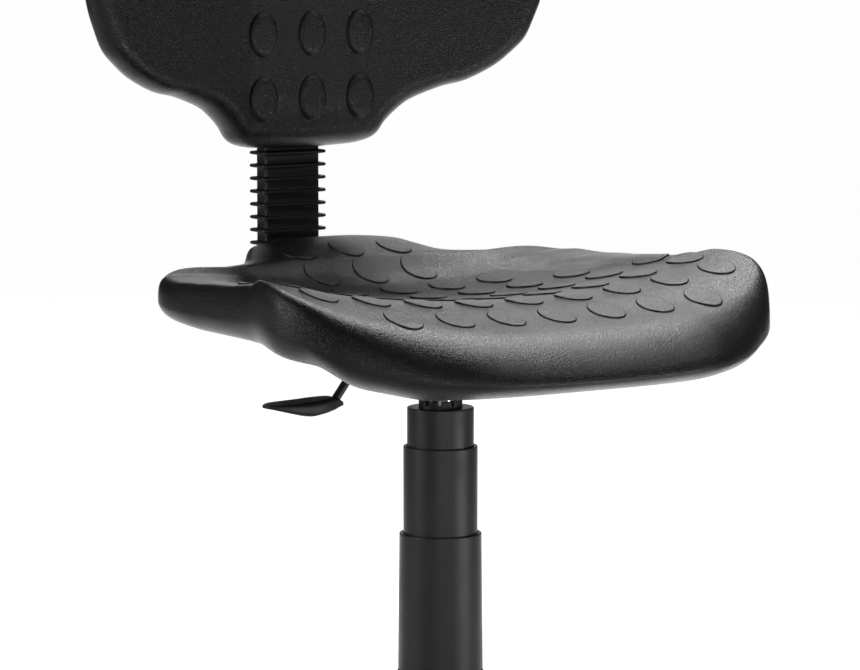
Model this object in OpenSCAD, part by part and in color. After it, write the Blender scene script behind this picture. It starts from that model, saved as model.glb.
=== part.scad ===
// Task chair with moulded seat and backrest, in millimetres.
// Z is up, the floor is Z = 0, the column stands on the origin.
// The chair faces -Y, its left side is +X.

/* [Seat cushion] */
// Half of the widest part of the seat outline
seat_half_width = 225;  // [180:1:270]
// Distance from the column to the front edge of the seat
seat_front = 242;  // [200:1:280]
// Distance from the column to the rear edge of the seat tongue
seat_rear = 197;  // [160:1:230]
// Height of the lowest place on top over the underside
seat_dish_rise = 43.6;  // [30:0.1:70]
// Height gained from the dish to the top of the rear tongue
seat_tongue_rise = 37;  // [20:1:60]
// Side rise of the dish at the reference distance
seat_side_rise = 11.5;  // [4:0.5:20]
// Distance from the centre line where the side rise is stated
seat_side_ref = 145;  // [100:1:180]
// Exponent of the side rise
seat_side_power = 2.2;  // [1.6:0.1:3]
// Height of the underside around the seat board
seat_under_height = 412;  // [390:0.5:440]
// How far the front edge hangs below the underside
seat_front_edge_drop = 4;  // [0:0.5:15]
// Extra height of the lower edge at the rear of the seat
seat_edge_lift = 36;  // [10:1:60]
// Width of the rounding along the upper rim
seat_top_round = 14;  // [8:1:30]
// Width of the rounding along the lower rim
seat_low_round = 30;  // [10:1:45]
// Width of both roundings along the front edge
seat_front_round = 44;  // [20:1:60]
// How square the upper rim is, 2 is a true round
seat_top_square = 3.2;  // [1.6:0.1:4]
// How square the lower rim is
seat_low_square = 1.4;  // [1.2:0.1:3]
// Share of the edge height where upper and lower rim meet
seat_parting = 0.61;  // [0.4:0.01:0.7]

/* [Seat board] */
// Half width of the board in the seat
board_half_width = 135;  // [100:1:160]
// Distance from the column to the front edge of the board
board_front = 150;  // [120:1:180]
// Distance from the column to the rear edge of the board
board_rear = 125;  // [90:1:150]
// Thickness of the board
board_thickness = 12;  // [9:0.5:15]
// Corner radius of the board
board_corner = 30;  // [10:1:50]

/* [Mechanism] */
// Half width of the mounting plate
plate_half_width = 95;  // [80:1:110]
// Distance from the column to the front edge of the plate
plate_front = 85;  // [70:1:110]
// Distance from the column to the rear edge of the plate
plate_rear = 96;  // [80:1:115]
// Thickness of the mounting plate
plate_thickness = 3;  // [2:0.5:4]
// Half width of the wide part of the housing
housing_half_width = 72;  // [55:1:80]
// Distance from the column to the front wall of the housing
housing_front = 70;  // [55:1:80]
// Distance from the column to the step in the housing
housing_step = 18;  // [5:1:40]
// Half width of the rear part of the housing
housing_rear_half = 36;  // [30:1:45]
// Distance from the column to the rear end of the housing
housing_rear = 116;  // [100:1:125]
// Height of the housing
housing_depth = 22;  // [18:1:30]
// Wall thickness of the housing
housing_wall = 2.5;  // [1.5:0.1:4]
// Outer radius of the taper socket
socket_radius = 19;  // [16:0.5:22]
// Distance from the column to the four seat bolts, sideways
bolt_side = 82;  // [75:1:88]
// Distance from the column to the four seat bolts, fore and aft
bolt_fore = 60;  // [40:1:75]
// Diameter of the seat bolts
bolt_diameter = 8;  // [6:0.5:10]
// Diameter of the bolt heads
bolt_head_diameter = 13;  // [10:0.5:16]
// Height of the bolt heads
bolt_head_height = 5.3;  // [4:0.1:7]

/* [Height lever] */
// Diameter of the lever rod
lever_rod_diameter = 7;  // [5:0.5:9]
// Drop of the inner end of the lever below the seat
lever_inner_drop = 8;  // [5:0.5:12]
// Distance from the column to the lever pivot
lever_pivot_out = 60;  // [50:1:66]
// Distance from the column to the bend where the rod turns down
lever_bend_out = 78;  // [74:1:84]
// Drop of the bend of the lever below the seat
lever_bend_drop = 10;  // [8:0.5:14]
// Distance from the column to the end of the rod in the handle
lever_rod_end_out = 97;  // [90:1:110]
// Drop of the end of the rod below the seat
lever_rod_end_drop = 34;  // [25:0.5:45]
// Distance from the column to the tip of the handle
lever_tip_out = 168;  // [140:1:190]
// Width of the handle
paddle_width = 30;  // [20:1:40]
// Diameter of the lever pin
lever_pin_diameter = 4;  // [3:0.5:6]

/* [Column cover] */
// Outer radius of the upper stage
upper_radius = 27.45;  // [26:0.05:30]
// Outer radius of the middle stage
mid_radius = 30.55;  // [29:0.05:34]
// Outer radius of the lower stage at its top
lower_radius = 33.85;  // [32:0.05:38]
// Outer radius of the lower stage at its foot
lower_foot_radius = 34.9;  // [33:0.05:40]
// Drop of the top stage below the seat
upper_drop = 44.5;  // [30:0.5:60]
// Drop of the middle stage below the top stage
mid_drop = 32;  // [20:0.5:45]
// Share of the way from the hub to the top of the middle stage where the lower stage ends
lower_share = 0.6119;  // [0.5:0.0001:0.7]
// Length of the upper stage
upper_length = 75;  // [60:1:90]
// Share of the way from the hub to the top of the middle stage where that stage begins
mid_foot_share = 0.326;  // [0.25:0.001:0.4]
// Wall thickness of the cover
cover_wall = 1.75;  // [1.2:0.05:2.5]
// Running gap between a lip and the next stage
cover_gap = 0.3;  // [0.2:0.05:0.6]
// Height of each lip
lip_height = 2.5;  // [1.5:0.1:4]
// Outer radius of the castellated collar
collar_radius = 18;  // [16:0.25:22]
// Height of the collar above the upper stage
collar_rise = 6;  // [4:0.5:10]
// Number of notches in the collar
collar_notches = 10;  // [6:1:14]

/* [Gas lift] */
// Outer radius of the outer tube
outer_tube_radius = 25;  // [24:0.5:26]
// Height of the foot of the outer tube
outer_tube_foot = 74;  // [60:1:90]
// Rise of the outer tube over the lower stage
outer_tube_rise = 36.5;  // [25:0.5:50]
// Wall thickness of the outer tube
outer_tube_wall = 2;  // [1.5:0.1:3]
// Outer radius of the pressure tube
pressure_radius = 14;  // [13:0.1:15]
// How far the pressure tube goes into the outer tube
tube_overlap = 132;  // [110:1:150]
// Drop of the top of the pressure tube below the seat
pressure_drop = 15.5;  // [12:0.5:20]
// Wall thickness of the pressure tube
pressure_wall = 2;  // [1.5:0.1:3]
// Radius of the piston rod
rod_radius = 5;  // [4:0.5:6]
// Rise of the piston over the outer tube
piston_rise = 26;  // [16:1:36]
// Height of the piston
piston_height = 12;  // [8:1:16]
// Radial running clearance of shafts in bores
running_gap = 0.05;  // [0.02:0.01:0.1]

/* [Base] */
// Distance from the column to each castor stem
arm_reach = 285;  // [260:1:320]
// Outer radius of the hub at its top
hub_top_radius = 35.25;  // [34:0.25:40]
// Outer radius of the hub at its foot
hub_foot_radius = 41;  // [38:0.5:46]
// Height of the top of the hub
hub_top = 150;  // [130:1:170]
// Height of the foot of the hub
hub_foot = 72;  // [60:1:80]
// Height of the arms where they leave the hub
arm_root_top = 138;  // [120:1:145]
// Depth of the arms where they leave the hub
arm_root_depth = 52;  // [40:1:60]
// Width of the arms where they leave the hub
arm_root_width = 44;  // [36:1:50]
// Height of the top of the arm ends
arm_end_top = 88;  // [80:1:96]
// Height of the foot of the arm ends
arm_end_foot = 60;  // [56:0.5:70]
// Outer radius of the arm ends
arm_end_radius = 15;  // [12:0.5:20]

/* [Castors] */
// Radius of the castor wheels
wheel_radius = 25;  // [22:0.5:30]
// Width of each castor wheel
wheel_width = 15;  // [10:0.5:20]
// Distance from the stem to the wheel axle
castor_trail = 19;  // [15:0.5:25]
// Radius of the castor stem
stem_radius = 5.5;  // [4.5:0.25:6]
// Radius of the castor axle
axle_radius = 4;  // [3:0.25:5]
// Thickness of the web between the wheels
web_thickness = 6;  // [4:0.5:8]
// Gap between wheel and web
wheel_gap = 0.4;  // [0.3:0.05:1]
// Gap between wheel and hood
hood_gap = 1.6;  // [1:0.1:3]
// Wall thickness of the hood
hood_wall = 2.2;  // [1.5:0.1:3]

/* [Back upright] */
// Distance from the column to the back hinge
back_pivot_rear = 100;  // [90:1:108]
// Drop of the hinge below the seat
back_pivot_drop = 14;  // [12:0.5:20]
// Radius of the back hinge pin
back_pin_radius = 5;  // [4:0.5:6]
// Outer radius of the hinge barrel
barrel_radius = 8;  // [7:0.5:10]
// Half length of the hinge barrel
barrel_half = 22;  // [18:1:26]
// Width of the bar
bar_width = 44;  // [36:1:50]
// Thickness of the bar
bar_thickness = 8;  // [6:0.5:10]
// Distance from the column to the middle of the upright
upright_rear = 237;  // [225:0.5:250]
// Rise of the upright over the lower edge of the backrest
upright_rise = 149;  // [120:1:165]
// Inner radius of the bend at the foot of the upright
bar_bend = 24;  // [15:1:40]

/* [Bellows] */
// Width of the bellows body
bellows_width = 54;  // [48:0.5:60]
// Depth of the bellows body
bellows_depth = 17;  // [14:0.5:22]
// How far the ribs stand out
rib_out = 3.5;  // [2:0.1:6]
// Thickness of the ribs
rib_thickness = 3;  // [2:0.1:4]
// Distance between ribs
rib_pitch = 11;  // [8:0.1:14]
// Rise of the foot of the bellows over the hinge
bellows_rise = 26;  // [20:1:40]
// Wall thickness of the bellows
bellows_wall = 1.6;  // [1.2:0.1:2.5]

/* [Backrest] */
// Half of the widest part of the backrest
back_half_width = 230;  // [180:1:250]
// Height of the lower edge of the backrest
back_low = 566;  // [540:1:600]
// Height of the backrest from edge to edge
back_height = 307;  // [240:1:360]
// Distance from the column to the middle of the front surface
back_front = 195;  // [185:0.5:205]
// How far the side wings reach forward
wing_forward = 33;  // [10:1:45]
// Exponent of the wings, 1 is a straight slope
wing_power = 1.1;  // [1:0.05:2.5]
// Half width of the flat middle band
band_half = 58;  // [40:1:80]
// Thickness of the wings
wing_thickness = 32;  // [28:1:45]
// Extra thickness behind the middle
spine_thickness = 18;  // [14:1:25]
// Width of the rounding around the rim
back_round = 18;  // [10:1:25]
// Rise of the middle of the outline over the lower edge
back_centre_rise = 149;  // [130:1:170]
// Half width of the channel behind the backrest
channel_half = 34;  // [30:0.5:40]
// Rise of the top of the channel over the lower edge
channel_rise = 190;  // [170:1:205]
// Distance from the column to the floor of the channel
channel_floor = 224;  // [215:0.5:228]

/* [Backrest support] */
// Half width of the board in the backrest
back_board_half = 92;  // [70:1:96]
// Rise of the board over the lower edge
back_board_rise = 79;  // [60:1:110]
// Height of the board
back_board_height = 155;  // [120:1:180]
// Thickness of that board
back_board_thickness = 8;  // [5:0.5:12]
// Half width of the carrier
carrier_half = 29;  // [27:0.5:32]
// Rise of the carrier over the lower edge
carrier_rise = 46;  // [34:1:60]
// Length of the carrier
carrier_length = 78;  // [60:1:100]
// Wall of the carrier behind the bar
carrier_wall = 8;  // [5:0.5:12]
// Rise of the knob over the foot of the carrier
knob_rise = 43;  // [36:1:52]
// Radius of the knob
knob_radius = 20;  // [15:0.5:25]
// Length of the knob
knob_length = 20;  // [14:1:28]

/* [Hidden] */
$fn = 48;

black = "#1f1f20";
steel = "#8c8f92";
grey = "#5a5c5e";
tiny = 0.01;
seat_dish_height = seat_under_height + seat_dish_rise;
seat_front_edge_height = seat_under_height - seat_front_edge_drop;
lever_inner_height = seat_under_height - lever_inner_drop;
lever_bend_height = seat_under_height - lever_bend_drop;
lever_rod_end_height = seat_under_height - lever_rod_end_drop;
lever_inner_reach = lever_rod_diameter / 2;
lever_pivot_height = lever_inner_height + (lever_bend_height - lever_inner_height)
    * (lever_pivot_out + lever_inner_reach) / (lever_bend_out + lever_inner_reach);
upper_top = seat_under_height - upper_drop;
mid_top = upper_top - mid_drop;
lower_top = hub_top + (mid_top - hub_top) * lower_share;
mid_length = (mid_top - hub_top) * (1 - mid_foot_share);
outer_tube_top = lower_top + outer_tube_rise;
pressure_foot = outer_tube_top - tube_overlap;
pressure_top = seat_under_height - pressure_drop;
piston_top = outer_tube_top + piston_rise;
back_pivot_height = seat_under_height - back_pivot_drop;
bellows_foot = back_pivot_height + bellows_rise;
upright_top = back_low + upright_rise;
back_centre_height = back_low + back_centre_rise;
channel_top = back_low + channel_rise;
back_board_low = back_low + back_board_rise;
back_board_high = back_board_low + back_board_height;
carrier_foot = back_low + carrier_rise;
carrier_top = carrier_foot + carrier_length;
knob_height = carrier_foot + knob_rise;
rib_count = floor((carrier_foot - bellows_foot) / rib_pitch);
plate_foot = seat_under_height - plate_thickness;
housing_foot = plate_foot - housing_depth;

// Seat outline for the right half, from the front centre round to the rear centre.
// The first share is of the half width, the second of the front or rear distance.
seat_outline_shares = [[0, -1.003], [0.26, -0.997], [0.487, -0.965], [0.662, -0.885],
    [0.82, -0.798], [0.962, -0.688], [1.025, -0.5], [1.004, -0.248], [1, 0], [0.993, 0.254],
    [0.951, 0.457], [0.854, 0.595], [0.711, 0.667], [0.555, 0.7], [0.443, 0.76], [0.375, 0.856],
    [0.307, 0.949], [0.172, 0.994], [0, 1]];
// Height of the centre line above the dish as shares of the tongue rise, against distance.
seat_line_shares = [[-1.05, -1.05], [-0.95, -0.7], [-0.847, -0.345], [-0.785, -0.185],
    [-0.748, -0.085], [-0.674, 0.06], [-0.624, 0.19], [-0.57, 0.265], [-0.488, 0.3], [-0.4, 0.285],
    [-0.31, 0.205], [-0.21, 0.14], [-0.112, 0.06], [0.096, 0], [0.315, 0.045], [0.43, 0.14],
    [0.528, 0.34], [0.63, 0.7], [0.72, 0.845], [0.8, 0.97], [0.88, 1.06], [1.05, 0.9]];
// Side rise against distance, as shares of the side rise.
seat_rise_shares = [[-1.05, 1.35], [-0.95, 1.3], [-0.826, 1.05], [-0.748, 0.6], [-0.669, 0.53],
    [-0.57, 0.6], [-0.488, 0.68], [-0.31, 0.93], [-0.112, 0.965], [0.096, 0.92], [0.315, 0.81],
    [0.45, 0.52], [0.528, 0.2], [0.62, 0.1], [0.72, -1.2], [0.82, -1.95], [1.05, -2.1]];
// Lift of the lower edge against distance, as shares of the edge lift.
seat_edge_shares = [[-1.05, -0.1], [-0.86, -0.14], [-0.7, 0.14], [-0.61, 0.53], [-0.47, 0.675],
    [-0.33, 0.76], [-0.1, 0.82], [0.24, 0.84], [0.5, 0.78], [0.8, 1.15], [1.05, 1.2]];
// Backrest outline for one half, from the lower centre to the upper centre.
// The first share is of the half width, the second of the overall height.
back_outline_shares = [[0, 0.003], [0.15, 0.006], [0.245, 0.012], [0.307, 0.028], [0.347, 0.065],
    [0.398, 0.1], [0.457, 0.129], [0.575, 0.161], [0.675, 0.178], [0.785, 0.216], [0.86, 0.258],
    [0.91, 0.295], [0.945, 0.348], [0.977, 0.411], [1, 0.5], [0.997, 0.6], [0.965, 0.71],
    [0.893, 0.82], [0.765, 0.912], [0.58, 0.968], [0.33, 0.993], [0, 1]];

// Piecewise curve through points in a table, by a four-point rule.
function at4(a, b, c, d, f) = 0.5 * (2 * b + (c - a) * f + (2 * a - 5 * b + 4 * c - d) * f * f
    + (3 * b - a - 3 * c + d) * f * f * f);
function seg(t, x, i = 0) = (i >= len(t) - 2 || x < t[i + 1][0]) ? i : seg(t, x, i + 1);
function table(t, x) = let (i = seg(t, x),
    a = t[i], b = t[i + 1],
    f = min(1, max(0, (x - a[0]) / (b[0] - a[0]))),
    s = f * f * (3 - 2 * f))
    a[1] + (b[1] - a[1]) * (0.5 * f + 0.5 * s);

// Full closed outline from one half: the half, then its mirror image.
function mirrored(h) = concat(h, [for (i = [len(h) - 2 : -1 : 1]) [-h[i][0], h[i][1]]]);
function closed_curve(p, steps) = [for (i = [0 : len(p) - 1]) for (k = [0 : steps - 1])
    at4(p[(i + len(p) - 1) % len(p)], p[i], p[(i + 1) % len(p)], p[(i + 2) % len(p)], k / steps)];

function seat_dist(y_share) = y_share < 0 ? y_share * seat_front : y_share * seat_rear;
function seat_share(y) = y < 0 ? y / seat_front : y / seat_rear;
seat_plan = [for (p = closed_curve(mirrored(seat_outline_shares), 1))
    [p[0] * seat_half_width, seat_dist(p[1])]];
function seat_top(x, y) = seat_dish_height + seat_tongue_rise * table(seat_line_shares, seat_share(y))
    + seat_side_rise * table(seat_rise_shares, seat_share(y))
    * pow(abs(x) / seat_side_ref, seat_side_power);
function seat_low(y) = seat_front_edge_height + seat_edge_lift * table(seat_edge_shares, seat_share(y));

// One ring of the seat: offset inward from the outline, with a height rule.
function inward(p, d) = p * max(0, 1 - d / norm(p));
function rounded(t, n) = t >= 1 ? 1 : pow(1 - pow(1 - t, n), 1 / n);
function smooth(t) = let (s = min(1, max(0, t))) s * s * (3 - 2 * s);
// Share of the front edge's own rounding at an outline point.
function front_part(p) = smooth((-seat_share(p[1]) - 0.6) / 0.32);
function blend(p, side, front) = side + (front - side) * front_part(p);
function top_width(p) = blend(p, seat_top_round, seat_front_round);
function low_width(p) = blend(p, seat_low_round, seat_front_round);
function seat_mid(p) = seat_low(p[1]) + seat_parting * (seat_top(p[0], p[1]) - seat_low(p[1]));
function top_point(p, t) = let (q = inward(p, t * top_width(p)), m = seat_mid(p))
    [q[0], q[1], m + (seat_top(q[0], q[1]) - m) * rounded(t, blend(p, seat_top_square, 2))];
function low_point(p, t) = let (q = inward(p, t * low_width(p)), m = seat_mid(p))
    [q[0], q[1], m - (m - seat_low(p[1])) * rounded(t, blend(p, seat_low_square, 2))];
function fraction_point(p, f) = let (q = inward(p, top_width(p)) * f)
    [q[0], q[1], seat_top(q[0], q[1])];
// How far the flat underside reaches in one direction: it is a rounded plate around the board.
function flat_reach(a) = let (e = smooth(a[1] + 0.5), n = 4 - 1.6 * e,
    x = board_half_width + 5 - 30 * e, y = a[1] < 0 ? board_front + 5 : board_rear + 10)
    1 / pow(pow(abs(a[0]) / x, n) + pow(abs(a[1]) / y, n), 1 / n);
// From the flat part the underside swings up to the lower rim.
function under_point(p, t) = let (a = p / norm(p), near = flat_reach(a), far = norm(p) - low_width(p))
    concat(a * (near + (far - near) * t),
        [seat_under_height + (seat_low(p[1]) - seat_under_height) * pow(t, 0.7)]);

module ring_solid(rings, first, last) {
    n = len(rings[0]);
    m = len(rings);
    points = concat([first], [for (r = rings) for (p = r) p], [last]);
    faces = concat(
        [for (i = [0 : n - 1]) [0, 1 + (i + 1) % n, 1 + i]],
        [for (k = [0 : m - 2]) for (i = [0 : n - 1])
            [1 + k * n + i, 1 + k * n + (i + 1) % n, 1 + (k + 1) * n + i]],
        [for (k = [0 : m - 2]) for (i = [0 : n - 1])
            [1 + k * n + (i + 1) % n, 1 + (k + 1) * n + (i + 1) % n, 1 + (k + 1) * n + i]],
        [for (i = [0 : n - 1]) [m * n + 1, 1 + (m - 1) * n + i, 1 + (m - 1) * n + (i + 1) % n]]);
    polyhedron(points, faces, convexity = 6);
}

module seat_form() {
    rings = concat(
        [for (f = [0.3, 0.55, 0.75, 0.9]) [for (p = seat_plan) fraction_point(p, f)]],
        [for (t = [1, 0.5, 0.2, 0.06, 0.012]) [for (p = seat_plan) top_point(p, t)]],
        [[for (p = seat_plan) [p[0], p[1], seat_mid(p)]]],
        [for (t = [0.04, 0.18, 0.5]) [for (p = seat_plan) low_point(p, t)]],
        [for (t = [1, 0.7, 0.35, 0]) [for (p = seat_plan) under_point(p, t)]]);
    ring_solid(rings, [0, 0, seat_top(0, 0)], [0, 0, seat_under_height]);
}

module board_shape() {
    hull() {
        for (x = [-1, 1]) {
            translate([x * (board_half_width - board_corner), board_corner - board_front])
                circle(board_corner, $fn = 32);
            translate([x * (board_half_width - board_corner) * 0.45, board_rear - board_corner])
                circle(board_corner, $fn = 32);
            translate([x * bolt_side, bolt_fore]) circle(bolt_diameter * 1.5, $fn = 32);
        }
    }
}

module seat_pad() {
    color(black)
    difference() {
        seat_form();
        translate([0, 0, seat_under_height - 1])
            linear_extrude(board_thickness + 1) board_shape();
    }
}

module bolt_places() {
    for (x = [-1, 1]) for (y = [-1, 1])
        translate([x * bolt_side, y * bolt_fore, 0]) children();
}

module seat_board() {
    color("#b08d5b")
    difference() {
        translate([0, 0, seat_under_height]) linear_extrude(board_thickness) board_shape();
        bolt_places()
            translate([0, 0, seat_under_height - 1])
                cylinder(h = board_thickness + 2, r = bolt_diameter * 0.7);
    }
}

module tee_nuts() {
    color(steel)
    bolt_places()
        translate([0, 0, seat_under_height])
            difference() {
                cylinder(h = board_thickness - 0.4, r = bolt_diameter * 0.7);
                translate([0, 0, -1]) cylinder(h = board_thickness + 2, r = bolt_diameter / 2);
            }
}

module seat_bolts() {
    color(steel)
    bolt_places() {
        translate([0, 0, plate_foot])
            cylinder(h = plate_thickness + board_thickness - 1, r = bolt_diameter / 2);
        translate([0, 0, plate_foot - bolt_head_height])
            cylinder(h = bolt_head_height, r = bolt_head_diameter / 2);
    }
}

module plate_shape() {
    corner = plate_thickness * 4;
    hull() {
        for (x = [-1, 1]) for (y = [corner - plate_front, plate_rear - corner])
            translate([x * (plate_half_width - corner), y]) circle(corner, $fn = 32);
    }
}

module mounting_plate() {
    color(black)
    difference() {
        translate([0, 0, plate_foot]) linear_extrude(plate_thickness) plate_shape();
        bolt_places()
            translate([0, 0, plate_foot - 1]) cylinder(h = plate_thickness + 2, r = bolt_diameter / 2);
    }
}

module housing_shape(inset) {
    translate([inset - housing_half_width, inset - housing_front])
        square([2 * (housing_half_width - inset), housing_front + housing_step - 2 * inset]);
    translate([inset - housing_rear_half, 0])
        square([2 * (housing_rear_half - inset), housing_rear]);
}

module mech_housing() {
    wide = lever_rod_diameter + 5;
    slot = barrel_radius * 2;
    color(black)
    difference() {
        translate([0, 0, housing_foot])
            linear_extrude(housing_depth)
                intersection() {
                    housing_shape(0);
                    translate([-housing_half_width, -housing_front])
                        square([2 * housing_half_width, housing_front + housing_rear]);
                }
        translate([0, 0, housing_foot + housing_wall])
            linear_extrude(housing_depth) housing_shape(housing_wall);
        translate([0, 0, housing_foot - 1])
            cylinder(h = housing_depth, r = socket_radius);
        translate([-housing_half_width - 1, 0, lever_bend_height])
            rotate([0, 90, 0]) cylinder(h = housing_wall + 2, r = wide / 2);
        translate([housing_rear_half + 1, back_pivot_rear, back_pivot_height])
            rotate([0, -90, 0]) cylinder(h = 2 * housing_rear_half + 2, r = back_pin_radius);
    }
}

module taper_socket() {
    color(grey)
    translate([0, 0, housing_foot - lip_height])
        difference() {
            cylinder(h = pressure_top - housing_foot + lip_height, r = socket_radius);
            translate([0, 0, -1]) cylinder(h = pressure_top, r = pressure_radius);
        }
}

module gas_outer_tube() {
    color(black)
    difference() {
        translate([0, 0, outer_tube_foot])
            cylinder(h = outer_tube_top - outer_tube_foot, r = outer_tube_radius);
        translate([0, 0, outer_tube_foot + outer_tube_wall * 2])
            cylinder(h = outer_tube_top, r = outer_tube_radius - outer_tube_wall);
        translate([0, 0, outer_tube_foot - 1])
            cylinder(h = outer_tube_wall * 4, r = rod_radius + running_gap);
    }
}

module guide_bush() {
    bush_length = outer_tube_top - lower_top + lip_height * 8;
    color("#d8d4c4")
    translate([0, 0, outer_tube_top - bush_length])
        difference() {
            cylinder(h = bush_length, r = outer_tube_radius - outer_tube_wall);
            translate([0, 0, -1])
                cylinder(h = bush_length + 2, r = pressure_radius + running_gap);
        }
}

module thrust_bearing() {
    seat = outer_tube_foot + outer_tube_wall * 2;
    color(steel)
    translate([0, 0, seat])
        difference() {
            cylinder(h = rod_radius, r = rod_radius * 2.4);
            translate([0, 0, -1]) cylinder(h = rod_radius * 2, r = rod_radius + running_gap);
        }
}

module piston_rod() {
    collar_foot = outer_tube_foot + outer_tube_wall * 2 + rod_radius + running_gap;
    color(steel) {
        translate([0, 0, outer_tube_foot - rod_radius])
            cylinder(h = piston_top - outer_tube_foot + rod_radius, r = rod_radius);
        translate([0, 0, collar_foot])
            cylinder(h = rod_radius * 0.8, r = rod_radius * 2);
        translate([0, 0, piston_top - piston_height])
            cylinder(h = piston_height, r = pressure_radius - pressure_wall - running_gap);
    }
}

module retaining_clip() {
    color(steel)
    translate([0, 0, outer_tube_foot - rod_radius * 0.5])
        difference() {
            cylinder(h = rod_radius * 0.4, r = rod_radius * 1.8);
            translate([0, 0, -1]) cylinder(h = rod_radius, r = rod_radius);
        }
}

module pressure_tube() {
    plug = pressure_radius * 0.57;
    color(steel)
    difference() {
        translate([0, 0, pressure_foot])
            cylinder(h = pressure_top - pressure_foot, r = pressure_radius);
        translate([0, 0, pressure_foot + plug])
            cylinder(h = pressure_top - pressure_foot - 2 * plug, r = pressure_radius - pressure_wall);
        translate([0, 0, pressure_foot - 1])
            cylinder(h = plug + 2, r = rod_radius + running_gap);
        translate([0, 0, pressure_top - plug - 1])
            cylinder(h = plug + 2, r = rod_radius * 0.4 + running_gap);
    }
}

module valve_pin() {
    pin_top = lever_inner_height - lever_rod_diameter / 2 - 0.2;
    color("#c9a14a")
    translate([0, 0, pressure_top - rod_radius])
        cylinder(h = pin_top - pressure_top + rod_radius, r = rod_radius * 0.4);
}

module shroud_collar() {
    flange = lip_height;
    color(black)
    difference() {
        union() {
            translate([0, 0, upper_top - cover_wall - flange])
                cylinder(h = flange + cover_wall + collar_rise, r = collar_radius);
            translate([0, 0, upper_top - cover_wall - flange])
                cylinder(h = flange, r = collar_radius + flange * 1.4);
        }
        translate([0, 0, upper_top - 2 * collar_rise])
            cylinder(h = 4 * collar_rise, r = pressure_radius);
        for (k = [0 : collar_notches - 1])
            rotate([0, 0, 360 / collar_notches * k])
                translate([pressure_radius - 1, -collar_radius * 0.12, upper_top + collar_rise * 0.35])
                    cube([collar_radius, collar_radius * 0.24, collar_rise]);
    }
}

module shroud_upper() {
    color(black)
    difference() {
        union() {
            translate([0, 0, upper_top - upper_length])
                cylinder(h = upper_length, r = upper_radius, $fn = 96);
            translate([0, 0, upper_top - upper_length])
                cylinder(h = lip_height, r = mid_radius - cover_wall - cover_gap, $fn = 96);
        }
        translate([0, 0, upper_top - upper_length - 1])
            cylinder(h = upper_length + 1 - cover_wall, r = upper_radius - cover_wall, $fn = 96);
        translate([0, 0, upper_top - 2 * cover_wall]) cylinder(h = 4 * cover_wall, r = collar_radius);
    }
}

module shroud_mid() {
    color(black)
    difference() {
        union() {
            translate([0, 0, mid_top - mid_length])
                cylinder(h = mid_length, r = mid_radius, $fn = 96);
            translate([0, 0, mid_top - mid_length])
                cylinder(h = lip_height, r = lower_radius - cover_wall - cover_gap, $fn = 96);
        }
        translate([0, 0, mid_top - mid_length - 1])
            cylinder(h = mid_length + 1 - lip_height, r = mid_radius - cover_wall, $fn = 96);
        translate([0, 0, mid_top - mid_length - 1])
            cylinder(h = mid_length + 2, r = upper_radius + cover_gap, $fn = 96);
    }
}

module shroud_lower() {
    color(black)
    difference() {
        translate([0, 0, hub_top])
            cylinder(h = lower_top - hub_top, r1 = lower_foot_radius, r2 = lower_radius, $fn = 96);
        translate([0, 0, hub_top + lip_height])
            cylinder(h = lower_top - hub_top - 2 * lip_height, r = lower_radius - cover_wall, $fn = 96);
        translate([0, 0, hub_top + lip_height])
            cylinder(h = lower_top - hub_top, r = mid_radius + cover_gap, $fn = 96);
        translate([0, 0, hub_top - 1]) cylinder(h = lip_height + 2, r = outer_tube_radius);
    }
}

module hub_sleeve() {
    color(steel)
    translate([0, 0, hub_foot])
        difference() {
            cylinder(h = hub_top - hub_foot - lip_height, r = outer_tube_radius + 4);
            translate([0, 0, -1]) cylinder(h = hub_top, r = outer_tube_radius);
        }
}

module star_base() {
    color(black)
    difference() {
        union() {
            translate([0, 0, hub_foot])
                cylinder(h = hub_top - hub_foot, r1 = hub_foot_radius, r2 = hub_top_radius, $fn = 72);
            for (k = [0 : 4])
                rotate([0, 0, 72 * k - 90])
                    hull() {
                        translate([0, -arm_root_width / 2, arm_root_top - arm_root_depth])
                            cube([hub_foot_radius * 0.7, arm_root_width, arm_root_depth]);
                        translate([arm_reach, 0, arm_end_foot])
                            cylinder(h = arm_end_top - arm_end_foot, r = arm_end_radius);
                    }
        }
        translate([0, 0, hub_foot - 20])
            cylinder(h = hub_top - hub_foot - lip_height + 20, r = outer_tube_radius + 4);
        translate([0, 0, hub_foot]) cylinder(h = hub_top, r = outer_tube_radius);
        for (k = [0 : 4])
            rotate([0, 0, 72 * k - 90])
                translate([arm_reach, 0, arm_end_foot - 1])
                    cylinder(h = arm_end_top - arm_end_foot - 3, r = stem_radius + running_gap);
    }
}

// The castor trails outward from its stem, along the arm.
module castor_place(k) {
    rotate([0, 0, 72 * k - 162]) translate([arm_reach, 0, 0]) children();
}

// Height where the stem clears the wheels, with some extra.
function web_top(extra) = wheel_radius + extra + 1.5
    + sqrt(pow(wheel_radius, 2) - pow(castor_trail - stem_radius, 2));

module castor_pintle(k) {
    color(steel)
    castor_place(k) {
        translate([0, 0, web_top(0)])
            cylinder(h = arm_end_top - 5 - web_top(0), r = stem_radius);
        translate([castor_trail, 0, wheel_radius])
            rotate([90, 0, 0])
                cylinder(h = web_thickness + 2 * wheel_gap + 1.8 * wheel_width, r = axle_radius,
                    center = true);
        translate([castor_trail, 0, wheel_radius])
            rotate([90, 0, 0])
                cylinder(h = web_thickness, r = axle_radius * 2.6, center = true);
        translate([-stem_radius * 0.5, -web_thickness / 2, wheel_radius - axle_radius])
            cube([castor_trail + stem_radius * 0.5, web_thickness,
                web_top(1) - wheel_radius + axle_radius]);
    }
}

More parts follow.
